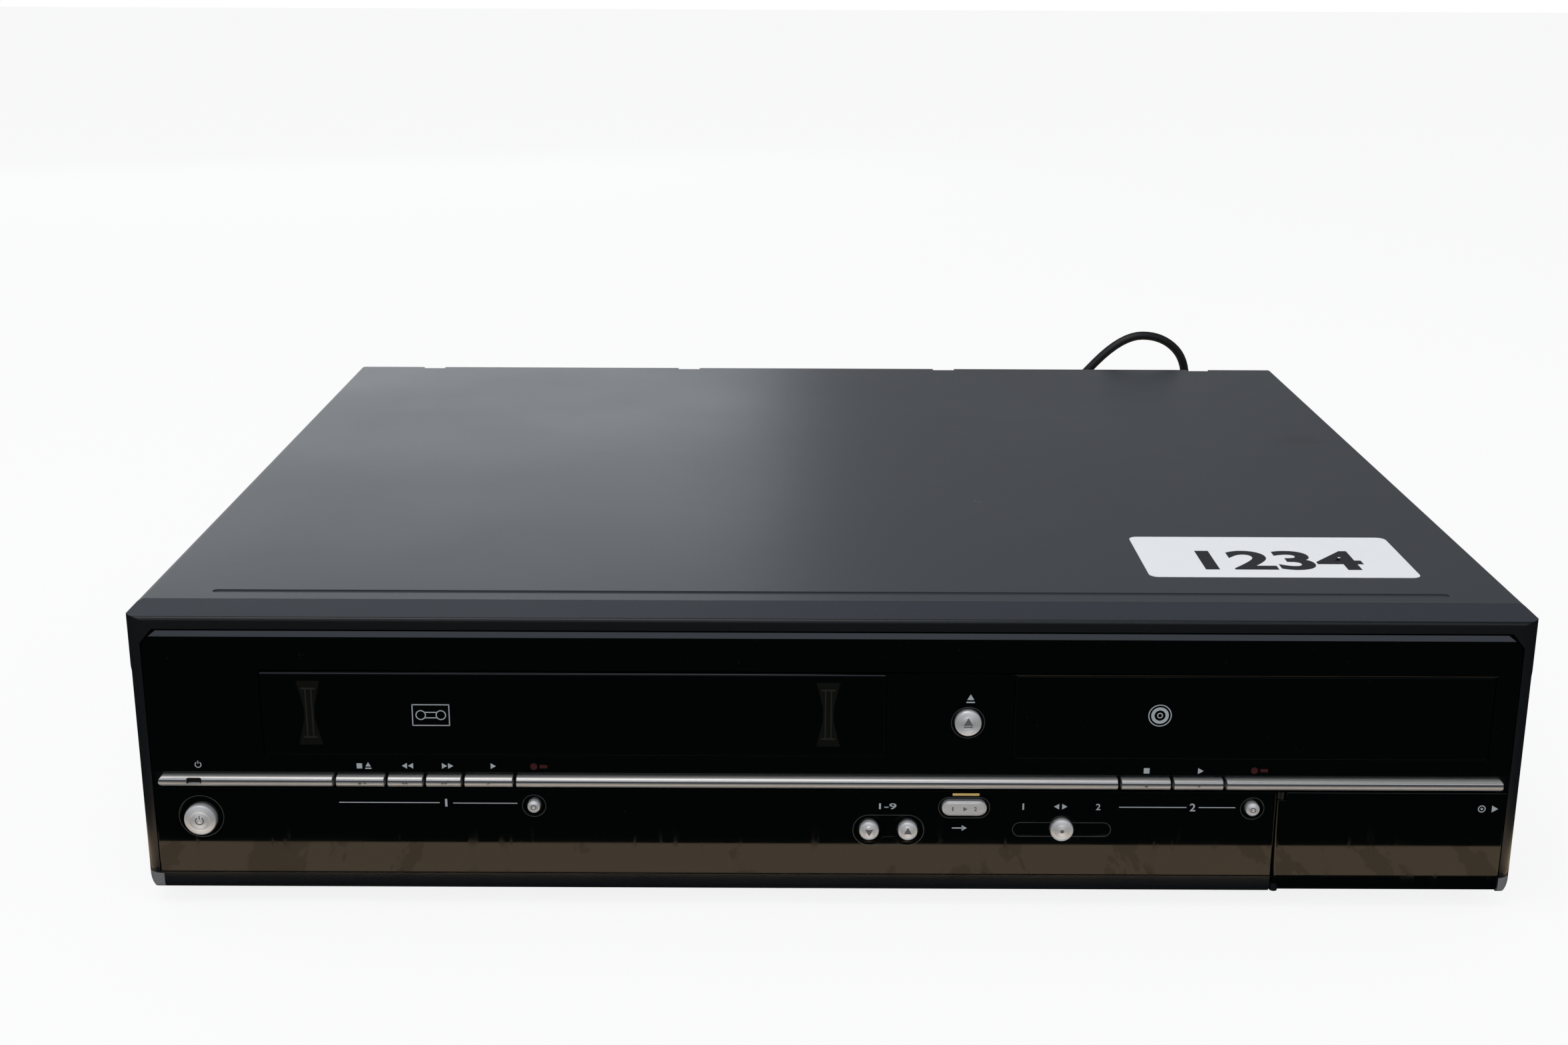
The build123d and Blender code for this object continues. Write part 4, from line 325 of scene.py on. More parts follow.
def coil_turns():
    """The wound length's points, from its top outer turn down to its bottom outer turn."""
    outward = 1 / math.cos(math.pi / POINTS_PER_TURN)
    outer = COIL_INNER + LAYER_TURNS * COIL_PITCH
    points = []
    stations = []
    for layer in range(COIL_LAYERS):
        ends = (outer, COIL_INNER) if layer % 2 == 0 else (COIL_INNER, outer)
        height = COIL_LOW + layer * COIL_RISE
        stations.append((layer * (LAYER_TURNS + 0.5), ends[0], height))
        stations.append((layer * (LAYER_TURNS + 0.5) + LAYER_TURNS, ends[1], height))
    for (turn0, r0, z0), (turn1, r1, z1) in zip(stations, stations[1:]):
        count = round((turn1 - turn0) * POINTS_PER_TURN)
        for i in range(count):
            share = i / count
            angle = math.radians(90) + 2 * math.pi * (turn0 + (turn1 - turn0) * share)
            radius = (r0 + (r1 - r0) * share) * outward
            height = z0 + (z1 - z0) * (3 * share**2 - 2 * share**3)
            x = COIL_CENTRE[0] + radius * math.cos(angle)
            y = COIL_CENTRE[1] + radius * math.sin(angle)
            points.append((x, y, height))
    highest = COIL_LOW + (COIL_LAYERS - 1) * COIL_RISE
    points.append((COIL_CENTRE[0], COIL_CENTRE[1] - outer, highest))
    # the lowest turn leaves the coil towards the plug
    points[0] = (COIL_CENTRE[0] + 0.004, points[0][1] - (outward - 1) * outer, COIL_LOW)
    return points[::-1]


route = LEAD_ROUTE + coil_turns() + LEAD_TO_PLUG
curve = bpy.data.curves.new("mains_lead", "CURVE")
curve.dimensions = "3D"
curve.bevel_depth = LEAD / 2
curve.bevel_resolution = 5
curve.resolution_u = 8
curve.use_fill_caps = True
spline = curve.splines.new("NURBS")
spline.points.add(len(route) - 1)
for point, place in zip(spline.points, route):
    point.co = (*place, 1.0)
spline.order_u = 3
spline.use_endpoint_u = True
lead = bpy.data.objects.new("mains_lead", curve)
scene.collection.objects.link(lead)

VINYL = (0.012, 0.012, 0.013)
finish = Finish("black_vinyl", Base_Color=VINYL, Roughness=0.42)
scuff = finish.grain(220, 4.0, 0.6)
finish.set(Roughness=0.36 + 0.2 * scuff, Normal=finish.relief(finish.grain(900), 0.15, 0.0002))
black_vinyl = finish.holder
curve.materials.append(black_vinyl)


def dress(node, material):
    """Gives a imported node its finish."""
    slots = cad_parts[node].data.materials
    slots.clear()
    slots.append(material)


dress("cord_gland", black_vinyl)
PLUG_FACE = 0.1021  # its two blades stand out past this x
finish = Finish("moulded_plug", Roughness=0.45)
x, y, z = finish.axes()
blade = x > PLUG_FACE
finish.set(
    Base_Color=finish.blend(blade, VINYL, (0.75, 0.74, 0.70)),
    Metallic=blade,
    Roughness=0.48 - 0.2 * blade + 0.1 * finish.grain(300),
    Normal=finish.relief(finish.grain(1400), 0.2, 0.0002),
)
dress("plug", finish.holder)
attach(lead, "chassis")
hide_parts("cord_tube", "cord_coil")


# ---- base pan ----
# A tray pressed from zinc-coated sheet; everything inside stands on it, and its edges are screwed
# inside the cover. The zinc shows as pale crystals of uneven gloss.
finish = Finish("zinc_sheet", Base_Color=(0.56, 0.57, 0.58), Metallic=1.0, Roughness=0.4)
crystal = finish.node(
    "ShaderNodeTexVoronoi",
    {"feature": "F1"},
    {"Vector": finish.node("ShaderNodeTexCoord", output="Object"), "Scale": 90.0},
    1,
)
tone = finish.node("ShaderNodeSeparateColor", {}, {0: crystal}, 0)
finish.set(
    Base_Color=finish.blend(tone, (0.50, 0.51, 0.53), (0.64, 0.65, 0.66)),
    Roughness=0.30 + 0.22 * tone,
    Normal=finish.relief(finish.grain(1800, 2.0), 0.12, 0.0001),
)
zinc_sheet = finish.holder
dress("base_pan", zinc_sheet)

# ---- feet ----
# Four rubber pads pressed into the pan. The rubber is dull, with a fine moulded grain and some
# dust on it.
finish = Finish("foot_rubber", Base_Color=(0.020, 0.020, 0.021), Roughness=0.78)
dust = finish.grain(260, 5.0, 0.7) > 0.62
finish.set(
    Base_Color=finish.blend(0.5 * dust, (0.018, 0.018, 0.019), (0.09, 0.088, 0.084)),
    Roughness=0.70 + 0.2 * finish.grain(500),
    Normal=finish.relief(finish.grain(2200), 0.35, 0.0003),
)
foot_rubber = finish.holder
dress("feet", foot_rubber)

# ---- circuit boards ----
# Green lacquered boards with copper tracks under the lacquer. What stands on them has its own
# colours: black cases, aluminium heat sinks, dark sleeves and a yellow taped transformer.
BOARD_TOP = 0.0149
HEAT_SINKS_X = ((-0.058, -0.030), (0.0725, 0.0765))
TRANSFORMER_X = (0.0925, 0.1315)
SLEEVED_X = (0.143, 0.167)
FRONT_PARTS_Y = (-0.172, -0.1672)
finish = Finish("circuit_board", Roughness=0.35)
x, y, z = finish.axes()
lanes = finish.grain(420, 0.0, 0.5, stretch=(3, 1, 1))
track = lanes > 0.54
lacquer = finish.blend(track, (0.010, 0.065, 0.030), (0.022, 0.120, 0.050))
raised = (z > BOARD_TOP) * (y > 0.0)
front_parts = y.within(*FRONT_PARTS_Y)
metal = raised * (x.within(*HEAT_SINKS_X[0]) + x.within(*HEAT_SINKS_X[1]))
taped = raised * x.within(*TRANSFORMER_X)
sleeve = raised * x.within(*SLEEVED_X)
part = finish.blend(metal, (0.014, 0.014, 0.015), (0.60, 0.61, 0.62))
part = finish.blend(taped, part, (0.42, 0.28, 0.03))
part = finish.blend(sleeve, part, (0.012, 0.020, 0.055))
finish.set(
    Base_Color=finish.blend((raised + front_parts).up_to(1.0), lacquer, part),
    Metallic=metal,
    Roughness=0.32 + 0.2 * finish.grain(300),
    Normal=finish.relief(lanes, 0.2, 0.0002),
)
circuit_board = finish.holder
for node in ("main_board", "power_board", "front_board"):
    dress(node, circuit_board)

# ---- display tube ----
# A flat vacuum-sealed glass tube behind the lower window, grey-green when it is off, with a silvery
# frame of pins at its edge.
CELLS_A_METRE = 180.0
CELLS_Z = (0.019, 0.031)
finish = Finish("tube_glass", Roughness=0.08, Coat_Weight=0.4)
x, y, z = finish.axes()
cells = (x * CELLS_A_METRE).maths("FRACT")
grid = (cells > 0.2) * z.within(*CELLS_Z)
finish.set(
    Base_Color=finish.blend(grid, (0.012, 0.016, 0.016), (0.030, 0.042, 0.040)),
    Roughness=0.06 + 0.05 * finish.grain(120),
)
dress("display_tube", finish.holder)

# ---- tape deck ----
# A plated steel deck with a turned aluminium head drum, a brass-coloured capstan flywheel, nylon
# reel tables and a rubber pinch roller. The sheets and the cassette holder are pressed and plated.
for node in ("deck_plate", "carriage_frame", "cassette_holder", "clamp_bridge", "pinch_arm"):
    dress(node, zinc_sheet)

finish = Finish("turned_aluminium", Base_Color=(0.78, 0.78, 0.79), Metallic=1.0)
lathe = finish.grain(60, 2.0, 0.5, stretch=(0.4, 0.4, 90))
finish.set(
    Base_Color=finish.blend(lathe, (0.66, 0.66, 0.68), (0.84, 0.84, 0.85)),
    Roughness=0.16 + 0.16 * lathe,
    Normal=finish.relief(lathe, 0.25, 0.0001),
)
turned_aluminium = finish.holder
for node in ("lower_drum", "upper_drum", "supply_guide", "takeup_guide"):
    dress(node, turned_aluminium)

FLYWHEEL_TOP = 0.0195
finish = Finish("capstan_steel", Metallic=1.0)
x, y, z = finish.axes()
wheel = z < FLYWHEEL_TOP
finish.set(
    Base_Color=finish.blend(wheel, (0.72, 0.72, 0.74), (0.62, 0.47, 0.22)),
    Roughness=0.18 + 0.18 * finish.grain(80, 2.0, 0.5, stretch=(1, 1, 40)),
)
dress("capstan", finish.holder)

finish = Finish("motor_case", Base_Color=(0.52, 0.53, 0.55), Metallic=1.0)
finish.set(
    Roughness=0.28 + 0.14 * finish.grain(120, 3.0),
    Normal=finish.relief(finish.grain(900, 2.0), 0.1, 0.0001),
)
for node in ("loading_motor", "loader_motor"):
    dress(node, finish.holder)

finish = Finish("roller_rubber", Base_Color=(0.016, 0.016, 0.017), Roughness=0.62)
finish.set(
    Roughness=0.55 + 0.2 * finish.grain(400),
    Normal=finish.relief(finish.grain(1500), 0.2, 0.0002),
)
dress("pinch_roller", finish.holder)

finish = Finish("white_nylon", Base_Color=(0.62, 0.62, 0.59), Roughness=0.42)
finish.set(
    Base_Color=finish.blend(finish.grain(150), (0.58, 0.57, 0.53), (0.66, 0.66, 0.64)),
    Subsurface_Weight=0.1,
    Subsurface_Radius=(0.002, 0.002, 0.0015),
    Roughness=0.36 + 0.14 * finish.grain(500),
)
white_nylon = finish.holder
for node in ("supply_reel_table", "takeup_reel_table", "loader_gear", "clamp_puck"):
    dress(node, white_nylon)

# ---- disc drive ----
# Black moulded frame, traverse and tray. The tray's disc seat is smooth, its rim matt; the pickup
# carries a blue-coated lens in a gold-coloured ring.
finish = Finish("drive_moulding", Base_Color=(0.016, 0.016, 0.017), Roughness=0.5)
finish.set(
    Roughness=0.42 + 0.16 * finish.grain(350),
    Normal=finish.relief(finish.grain(2500, 2.0), 0.25, 0.0002),
)
drive_moulding = finish.holder
for node in ("drive_frame", "disc_tray", "traverse", "turntable"):
    dress(node, drive_moulding)

PICKUP_LENS = (0.12975, -0.0815)
LENS_RADIUS = 0.0036
LENS_RING = 0.0052
SLED_TOP = 0.05
finish = Finish("pickup", Roughness=0.4)
x, y, z = finish.axes()
from_lens = ((x - PICKUP_LENS[0]) ** 2 + (y - PICKUP_LENS[1]) ** 2) ** 0.5
lens = (from_lens < LENS_RADIUS) * (z > SLED_TOP)
ring = (from_lens < LENS_RING) * (z > SLED_TOP) * (1 - lens)
body = finish.blend(ring, (0.10, 0.10, 0.105), (0.55, 0.42, 0.18))
finish.set(
    Base_Color=finish.blend(lens, body, (0.02, 0.05, 0.22)),
    Metallic=0.75 - 0.75 * lens,
    Roughness=0.38 - 0.33 * lens + 0.1 * finish.grain(400),
)
dress("pickup_sled", finish.holder)

# ---- rear panel ----
# Black painted sheet with vent slots, held by screws. The phono sockets have coloured rings and
# plated centres, the aerial sockets and the digital sockets are nickel plated.
finish = Finish("black_paint", Base_Color=(0.022, 0.022, 0.024), Roughness=0.45)
finish.set(
    Roughness=0.40 + 0.16 * finish.grain(200, 4.0),
    Normal=finish.relief(finish.grain(1600, 3.0), 0.3, 0.0003),
)
black_paint = finish.holder
dress("rear_panel", black_paint)

finish = Finish("black_zinc", Base_Color=(0.05, 0.05, 0.055), Metallic=0.9, Roughness=0.32)
finish.set(Roughness=0.26 + 0.18 * finish.grain(700))
dress("case_screws", finish.holder)

MOULDED_BLACK = (0.014, 0.014, 0.015)
SOCKET_YELLOW = (0.62, 0.42, 0.02)
SOCKET_WHITE = (0.72, 0.72, 0.70)
SOCKET_RED = (0.45, 0.010, 0.010)
SOCKET_BLUE = (0.010, 0.045, 0.36)


def socket_finish(name, centres, heights, colours, radius, y_mouth, facing):
    """Black moulded block whose round barrels have a colour each and plated centres."""
    finish = Finish(name, Roughness=0.35)
    x, y, z = finish.axes()
    colour = None
    bore = None
    for centre, height, tint in zip(centres, heights, colours):
        away = ((x - centre) ** 2 + (z - height) ** 2) ** 0.5
        ring = away.within(0.0017, radius) * (facing * (y - y_mouth) > 0)
        inner = (away < 0.0018) * (facing * (y - y_mouth) > -0.02)
        colour = finish.blend(ring, colour or MOULDED_BLACK, tint)
        bore = inner if bore is None else bore + inner
    finish.set(
        Base_Color=finish.blend(bore.up_to(1.0), colour, (0.70, 0.62, 0.40)),
        Metallic=bore.up_to(1.0),
        Roughness=0.30 + 0.12 * finish.grain(500),
        Normal=finish.relief(finish.grain(1500), 0.1, 0.0001),
    )
    return finish.holder


BARREL_RADIUS = 0.0043
REAR_PITCH = 0.014
rear_x = [-0.15 + REAR_PITCH * (i - 1.5) for i in range(4) for _ in range(2)]
rear_z = [0.029 + REAR_PITCH * row for _ in range(4) for row in range(2)]
rear_tints = [SOCKET_YELLOW, SOCKET_YELLOW, SOCKET_WHITE, SOCKET_WHITE]
rear_tints += [SOCKET_RED, SOCKET_RED, SOCKET_BLUE, SOCKET_RED]
dress(
    "rear_av_sockets",
    socket_finish("rear_sockets", rear_x, rear_z, rear_tints, BARREL_RADIUS, 0.1735, 1),
)

finish = Finish("nickel_plate", Base_Color=(0.70, 0.69, 0.66), Metallic=1.0, Roughness=0.22)
finish.set(Roughness=0.16 + 0.16 * finish.grain(350, 4.0))
nickel_plate = finish.holder
dress("aerial_sockets", nickel_plate)
dress("digital_sockets", nickel_plate)

# ---- top cover ----
# Steel sheet painted a satin grey, bent over the sides, with a pressed bead behind its front edge.
# It has a few scuffs and a dull smear near the right rear corner.
def add_piece(name, shape, material, body, slot, *nodes, sharp=35):
    """Makes a piece of a bmesh, on a body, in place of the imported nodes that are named."""
    mesh = bpy.data.meshes.new(name)
    shape.to_mesh(mesh)
    shape.free()
    mesh.polygons.foreach_set("use_smooth", [True] * len(mesh.polygons))
    mesh.set_sharp_from_angle(angle=math.radians(sharp))
    mesh.materials.append(material)
    piece = bpy.data.objects.new(name, mesh)
    scene.collection.objects.link(piece)
    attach(piece, body)
    if nodes:
        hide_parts(*nodes)
    return piece


def eased(node, width, steps=2, corner=30):
    """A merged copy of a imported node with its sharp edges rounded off."""
    shape = bmesh.new()
    shape.from_mesh(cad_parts[node].data)
    bmesh.ops.remove_doubles(shape, verts=shape.verts, dist=1e-6)
    bmesh.ops.dissolve_limit(
        shape, angle_limit=math.radians(1), verts=shape.verts, edges=shape.edges
    )
    limit = math.radians(corner)
    corners = [e for e in shape.edges if e.is_manifold and e.calc_face_angle() > limit]
    bmesh.ops.bevel(
        shape,
        geom=corners,
        offset=width,
        offset_type="OFFSET",
        segments=steps,
        profile=0.5,
        affect="EDGES",
        clamp_overlap=False,
        material=-1,
    )
    return shape


def level(piece):
    """Keeps flat faces flat in light next to their rounded edges."""
    even = piece.modifiers.new("even", "WEIGHTED_NORMAL")
    even.keep_sharp = True
    even.weight = 90


COVER_GREY = (0.037, 0.041, 0.047)
COVER_PALE = (0.044, 0.048, 0.054)
UPPER_SIDE = 0.0965  # the cover's flat top lies above this height
SMEAR_PLACE = (0.1948, 0.0387)
SMEAR_REACH = (0.012, 0.010)
SCUFF_PLACES = ((0.0422, -0.0260), (0.0543, -0.0532), (-0.1784, -0.0868))
SCUFF_REACH = 0.0028
finish = Finish("cover_paint", Roughness=0.42, Coat_Weight=0.0)
x, y, z = finish.axes()
cloud = finish.grain(9, 4.0, 0.6)
peel = finish.grain(1300, 2.0, 0.5)
across = (x - SMEAR_PLACE[0]) / SMEAR_REACH[0]
along = (y - SMEAR_PLACE[1]) / SMEAR_REACH[1]
spot = (1 - (across**2 + along**2)).at_least(0.0)
smear = spot * (finish.grain(60, 4.0, 0.65, stretch=(1, 2.2, 1)) > 0.47)
scuffs = finish.grain(420, 6.0, 0.7, stretch=(1, 0.3, 1))
scuff = (scuffs > 0.725) * (z > UPPER_SIDE)
for scuff_x, scuff_y in SCUFF_PLACES:
    near = ((x - scuff_x) ** 2 + (y - scuff_y) ** 2) ** 0.5 < SCUFF_REACH
    scuff = scuff + near * (scuffs > 0.60) * (z > UPPER_SIDE)
grey = finish.blend(cloud, COVER_GREY, COVER_PALE)
grey = finish.blend(0.75 * smear, grey, (0.016, 0.017, 0.018))
finish.set(
    Base_Color=finish.blend(0.35 * scuff, grey, (0.16, 0.16, 0.155)),
    Roughness=0.29 + 0.10 * cloud - 0.06 * smear,
    Normal=finish.relief(peel, 0.16, 0.0002),
)
cover_paint = finish.holder
dress("top_cover", cover_paint)

# ---- number label ----
# A white paper label stuck flat on the cover near its front right corner, with four bold digits.
LABEL_X = (0.1030, 0.1905)
LABEL_Y = (-0.1411, -0.0971)
LABEL_THICK = 0.00012
INK = 0.00003
LABEL_CORNER = 0.0030
DIGITS = "1234"
DIGITS_X = (0.1225, 0.1755)
DIGITS_Y = (-0.1335, -0.1128)
COVER_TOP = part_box("top_cover")[1].z

finish = Finish("label_paper", Base_Color=(0.86, 0.87, 0.89), Roughness=0.55)
finish.set(
    Base_Color=finish.blend(finish.grain(60), (0.83, 0.84, 0.87), (0.88, 0.89, 0.90)),
    Normal=finish.relief(finish.grain(900, 3.0), 0.1, 0.0001),
)
shape = bmesh.new()
middle = ((LABEL_X[0] + LABEL_X[1]) / 2, (LABEL_Y[0] + LABEL_Y[1]) / 2)
size = (LABEL_X[1] - LABEL_X[0], LABEL_Y[1] - LABEL_Y[0])
place = Matrix.Translation((*middle, COVER_TOP + LABEL_THICK / 2))
bmesh.ops.create_cube(shape, size=1, matrix=place @ Matrix.Diagonal((*size, LABEL_THICK, 1)))
corners = [e for e in shape.edges if abs(e.verts[0].co.z - e.verts[1].co.z) > LABEL_THICK / 2]
bmesh.ops.bevel(
    shape, geom=corners, offset=LABEL_CORNER, segments=8, profile=0.5, affect="EDGES", material=-1
)
add_piece("number_label", shape, finish.holder, "chassis", "cover_paint")


def lettered(words, x, y, bold=0.0):
    """Flat plain characters that fill a box between (low, high) pairs on z = 0."""
    text = bpy.data.curves.new("words", "FONT")
    text.body = words
    text.offset = bold
    text.resolution_u = 6
    holder = bpy.data.objects.new("words", text)
    scene.collection.objects.link(holder)
    bpy.context.view_layer.update()
    shaped = holder.evaluated_get(bpy.context.evaluated_depsgraph_get())
    mesh = bpy.data.meshes.new_from_object(shaped)
    bpy.data.objects.remove(holder)
    shape = bmesh.new()
    shape.from_mesh(mesh)
    lows = [min(v.co[i] for v in shape.verts) for i in range(2)]
    highs = [max(v.co[i] for v in shape.verts) for i in range(2)]
    scale_x = (x[1] - x[0]) / (highs[0] - lows[0])
    scale_y = (y[1] - y[0]) / (highs[1] - lows[1])
    bmesh.ops.translate(shape, verts=shape.verts, vec=(-lows[0], -lows[1], 0))
    bmesh.ops.scale(shape, verts=shape.verts, vec=(scale_x, scale_y, 1))
    bmesh.ops.translate(shape, verts=shape.verts, vec=(x[0], y[0], 0))
    return shape


def raise_marks(shape, depth, toward=(0, -1, 0)):
    """Gives flat marks a thickness towards the viewer."""
    toward = Vector(toward)
    back = [f for f in shape.faces if f.normal.dot(toward) < 0]
    bmesh.ops.reverse_faces(shape, faces=back)
    raised = bmesh.ops.extrude_face_region(shape, geom=shape.faces[:])
    tops = [part for part in raised["geom"] if isinstance(part, bmesh.types.BMVert)]
    bmesh.ops.translate(shape, verts=tops, vec=toward * depth)
    bmesh.ops.recalc_face_normals(shape, faces=shape.faces)


finish = Finish("label_ink", Base_Color=(0.022, 0.022, 0.026), Roughness=0.5)
finish.set(Roughness=0.45 + 0.15 * finish.grain(900))
shape = lettered(DIGITS, DIGITS_X, DIGITS_Y, bold=0.03)
bmesh.ops.translate(shape, verts=shape.verts, vec=(0, 0, COVER_TOP + LABEL_THICK))
raise_marks(shape, INK, toward=(0, 0, 1))
add_piece("label_digits", shape, finish.holder, "chassis", "cover_paint")


# ---- front moulding ----
# One black moulding round the whole front. It is satin, with a fine spark-eroded grain, and its top
# shelf carries some dust and a paler blue-grey painted sheen; its rounded edges are polished by
# handling.
SHELF_HEIGHT = 0.0957
LIP_HEIGHT = 0.0124
WORN_CORNERS = (0.2096, 0.0104)  # past this x, below this height
finish = Finish("satin_black", Base_Color=(0.010, 0.010, 0.012), Roughness=0.30)
x, y, z = finish.axes()
cloud = finish.grain(30, 4.0, 0.6)
shelf = z > SHELF_HEIGHT
low_lip = z < LIP_HEIGHT
dust = (finish.grain(700, 5.0, 0.7) > 0.66) * shelf
scuffed = (abs(x) > WORN_CORNERS[0]) * (z < WORN_CORNERS[1])
# painted sheen: the top shelf is coloured a paler blue-grey than the rest
black = finish.blend(shelf, (0.006, 0.007, 0.008), (0.032, 0.036, 0.045))
black = finish.blend(scuffed, black, (0.15, 0.15, 0.148))
finish.set(
    Base_Color=finish.blend(0.2 * dust, black, (0.16, 0.16, 0.17)),
    Roughness=0.25 + 0.12 * cloud + 0.04 * shelf - 0.17 * low_lip,
    Normal=finish.relief(finish.grain(2600, 2.0), 0.12, 0.0002),
)
satin_black = finish.holder
dress("front_bezel", satin_black)

# ---- windows ----
# Two clear-fronted gloss black panels glued on the moulding's ledge; the upper one has a bevelled
# top edge. They show finger marks, dust specks and fine polishing scratches.
GLOSS = (0.0007, 0.0012, 0.0011)
finish = Finish("gloss_black", Base_Color=GLOSS, Roughness=0.04)
smudge = finish.grain(45, 5.0, 0.6, stretch=(1.0, 1.0, 0.55))
marks = finish.grain(230, 5.0, 0.65, stretch=(1.0, 1.0, 0.25))
specks = finish.grain(2100, 1.0, 0.4) > 0.80
finish.set(
    Base_Color=finish.blend(0.5 * specks, GLOSS, (0.05, 0.05, 0.047)),
    Roughness=0.022 + 0.05 * smudge + 0.06 * (marks > 0.62),
    Normal=finish.relief(finish.grain(28, 1.0), 0.02, 0.0004),
)
gloss_black = finish.holder

for node in ("upper_window", "lower_window"):
    shape = eased(node, 0.00012)
    name = node + "_pane"
    level(add_piece(name, shape, gloss_black, "chassis", "gloss_black", node, sharp=4))

# ---- cassette door ----
# A smoked door hung at its top corners. Two ribs on its back are painted on its front as brown
# shadows, standing in for their showing through it, each with a paler painted groove down its
# middle.
RIBS_X = (-0.1604, -0.0009)
RIB_MIDDLE = 0.0648
RIB_REACH = 0.0105
finish = Finish("smoked_door", Base_Color=GLOSS, Roughness=0.04)
x, y, z = finish.axes()
tone = GLOSS
for rib_x in RIBS_X:
    across = abs(x - rib_x)
    rise = abs(z - RIB_MIDDLE)
    waist = 0.0016 + (rise - 0.002).at_least(0.0) * 0.24
    # painted shadows of the ribs behind the door, with paler painted lines at their grooves and
    # ends
    painted_rib_shadow = (across < waist) * (rise < RIB_REACH)
    groove = (abs(across - 0.0009) < 0.00022) * (rise < 0.0078)
    cap = (abs(rise - 0.0080) < 0.0003) * (across < 0.0022)
    tone = finish.blend(0.55 * painted_rib_shadow, tone, (0.0095, 0.0090, 0.0070))
    tone = finish.blend((groove + cap).up_to(1.0) * 0.5, tone, (0.026, 0.026, 0.022))
finish.set(Base_Color=tone, Roughness=0.022 + 0.055 * finish.grain(45, 5.0, 0.6))
shape = eased("cassette_door", 0.00010)
door = add_piece(
    "smoked_door", shape, finish.holder, "cassette_door", "smoked", "cassette_door"
)
level(door)

# ---- disc tray front and socket flap ----
# Two gloss black covers, moulded like the windows: one rides on the disc tray, the other swings
# out on its left edge and has an arrow mark where it opens.
for node, body in (("tray_front", "tray"), ("av_flap", "av_flap")):
    shape = eased(node, 0.00014)
    level(add_piece(node + "_cover", shape, gloss_black, body, "gloss_black", node))

# ---- silver strip ----
# Seven lengths of one rounded bar across the front: plastic with a bright vapour-coated finish.
# Six of them are keys; small pressed marks on the keys and a lamp window break the shine. A dark
# line along the bar's middle is a painted reflection of the dim room.
LAMP_WINDOW = (-0.1972, 0.0427)
DARK_REFLECTION_LINE = 0.0428
finish = Finish("bright_silver", Base_Color=(0.74, 0.72, 0.70), Metallic=0.7, Roughness=0.28)
x, y, z = finish.axes()
draw = finish.grain(35, 4.0, 0.6, stretch=(0.12, 1, 8))
window = (abs(x - LAMP_WINDOW[0]) < 0.0023) * (abs(z - LAMP_WINDOW[1]) < 0.0008)
shine = finish.blend(draw, (0.50, 0.49, 0.48), (0.66, 0.65, 0.635))
# painted reflection: a dark line along the bar's middle, where it faces the dim room
line = abs(z - DARK_REFLECTION_LINE) < 0.00028
shine = finish.blend(0.9 * line, shine, (0.06, 0.058, 0.056))
finish.set(
    Base_Color=finish.blend(window, shine, (0.006, 0.006, 0.007)),
    Metallic=0.65 - 0.65 * window,
    Roughness=0.26 + 0.12 * draw,
    Normal=finish.relief(finish.grain(1700, 2.0), 0.05, 0.0001),
)
bright_silver = finish.holder
finish = Finish("pressed_mark", Base_Color=(0.30, 0.29, 0.28), Metallic=0.8, Roughness=0.4)
finish.set(Roughness=0.35 + 0.1 * finish.grain(900))
pressed_mark = finish.holder

FRONT = -0.1801
FEET = 0.005
EDGE = 0.00015
shape = eased("silver_trims", EDGE)
level(add_piece("silver_lengths", shape, bright_silver, "chassis", "silver", "silver_trims"))
KEYS = (
    "vcr_stop_key",
    "vcr_rewind_key",
    "vcr_forward_key",
    "vcr_play_key",
    "dvd_stop_key",
    "dvd_play_key",
)
for key in KEYS:
    level(add_piece(key + "_bar", eased(key, EDGE), bright_silver, key, "silver", key))


def on_front(x, height, y=FRONT, turn=0.0):
    """Stands a flat shape, drawn with x to the right and y up, on the front at a height."""
    upright = Matrix(((1, 0, 0, x), (0, 0, -1, y), (0, 1, 0, height + FEET), (0, 0, 0, 1)))
    return upright @ Matrix.Rotation(math.radians(turn), 4, "Z")


def triangle(shape, place, size):
    """A triangle that points to +x."""
    bmesh.ops.create_circle(
        shape,
        cap_ends=True,
        segments=3,
        radius=size * 0.6,
        matrix=place @ Matrix.Rotation(math.radians(-90), 4, "Z"),
    )


def bar_mark(shape, place, wide, high):
    """A flat rectangle round the place."""
    place = place @ Matrix.Diagonal((wide, high, 1, 1))
    return bmesh.ops.create_grid(shape, x_segments=1, y_segments=1, size=0.5, matrix=place)


def ring_mark(shape, place, radius, width, segments=32, gap=0):
    """A flat ring round the place, open at its top where a gap is given."""
    inner = bmesh.ops.create_circle(shape, segments=segments, radius=radius - width, matrix=place)
    outer = bmesh.ops.create_circle(shape, segments=segments, radius=radius, matrix=place)
    edges = {e for part in (inner, outer) for v in part["verts"] for e in v.link_edges}
    made = bmesh.ops.bridge_loops(shape, edges=list(edges))
    if gap:
        middle = place.to_translation()
        up = place.to_3x3() @ Vector((0, 1, 0))
        out = [f for f in made["faces"] if (f.calc_center_median() - middle).angle(up) < gap]
        bmesh.ops.delete(shape, geom=out, context="FACES")


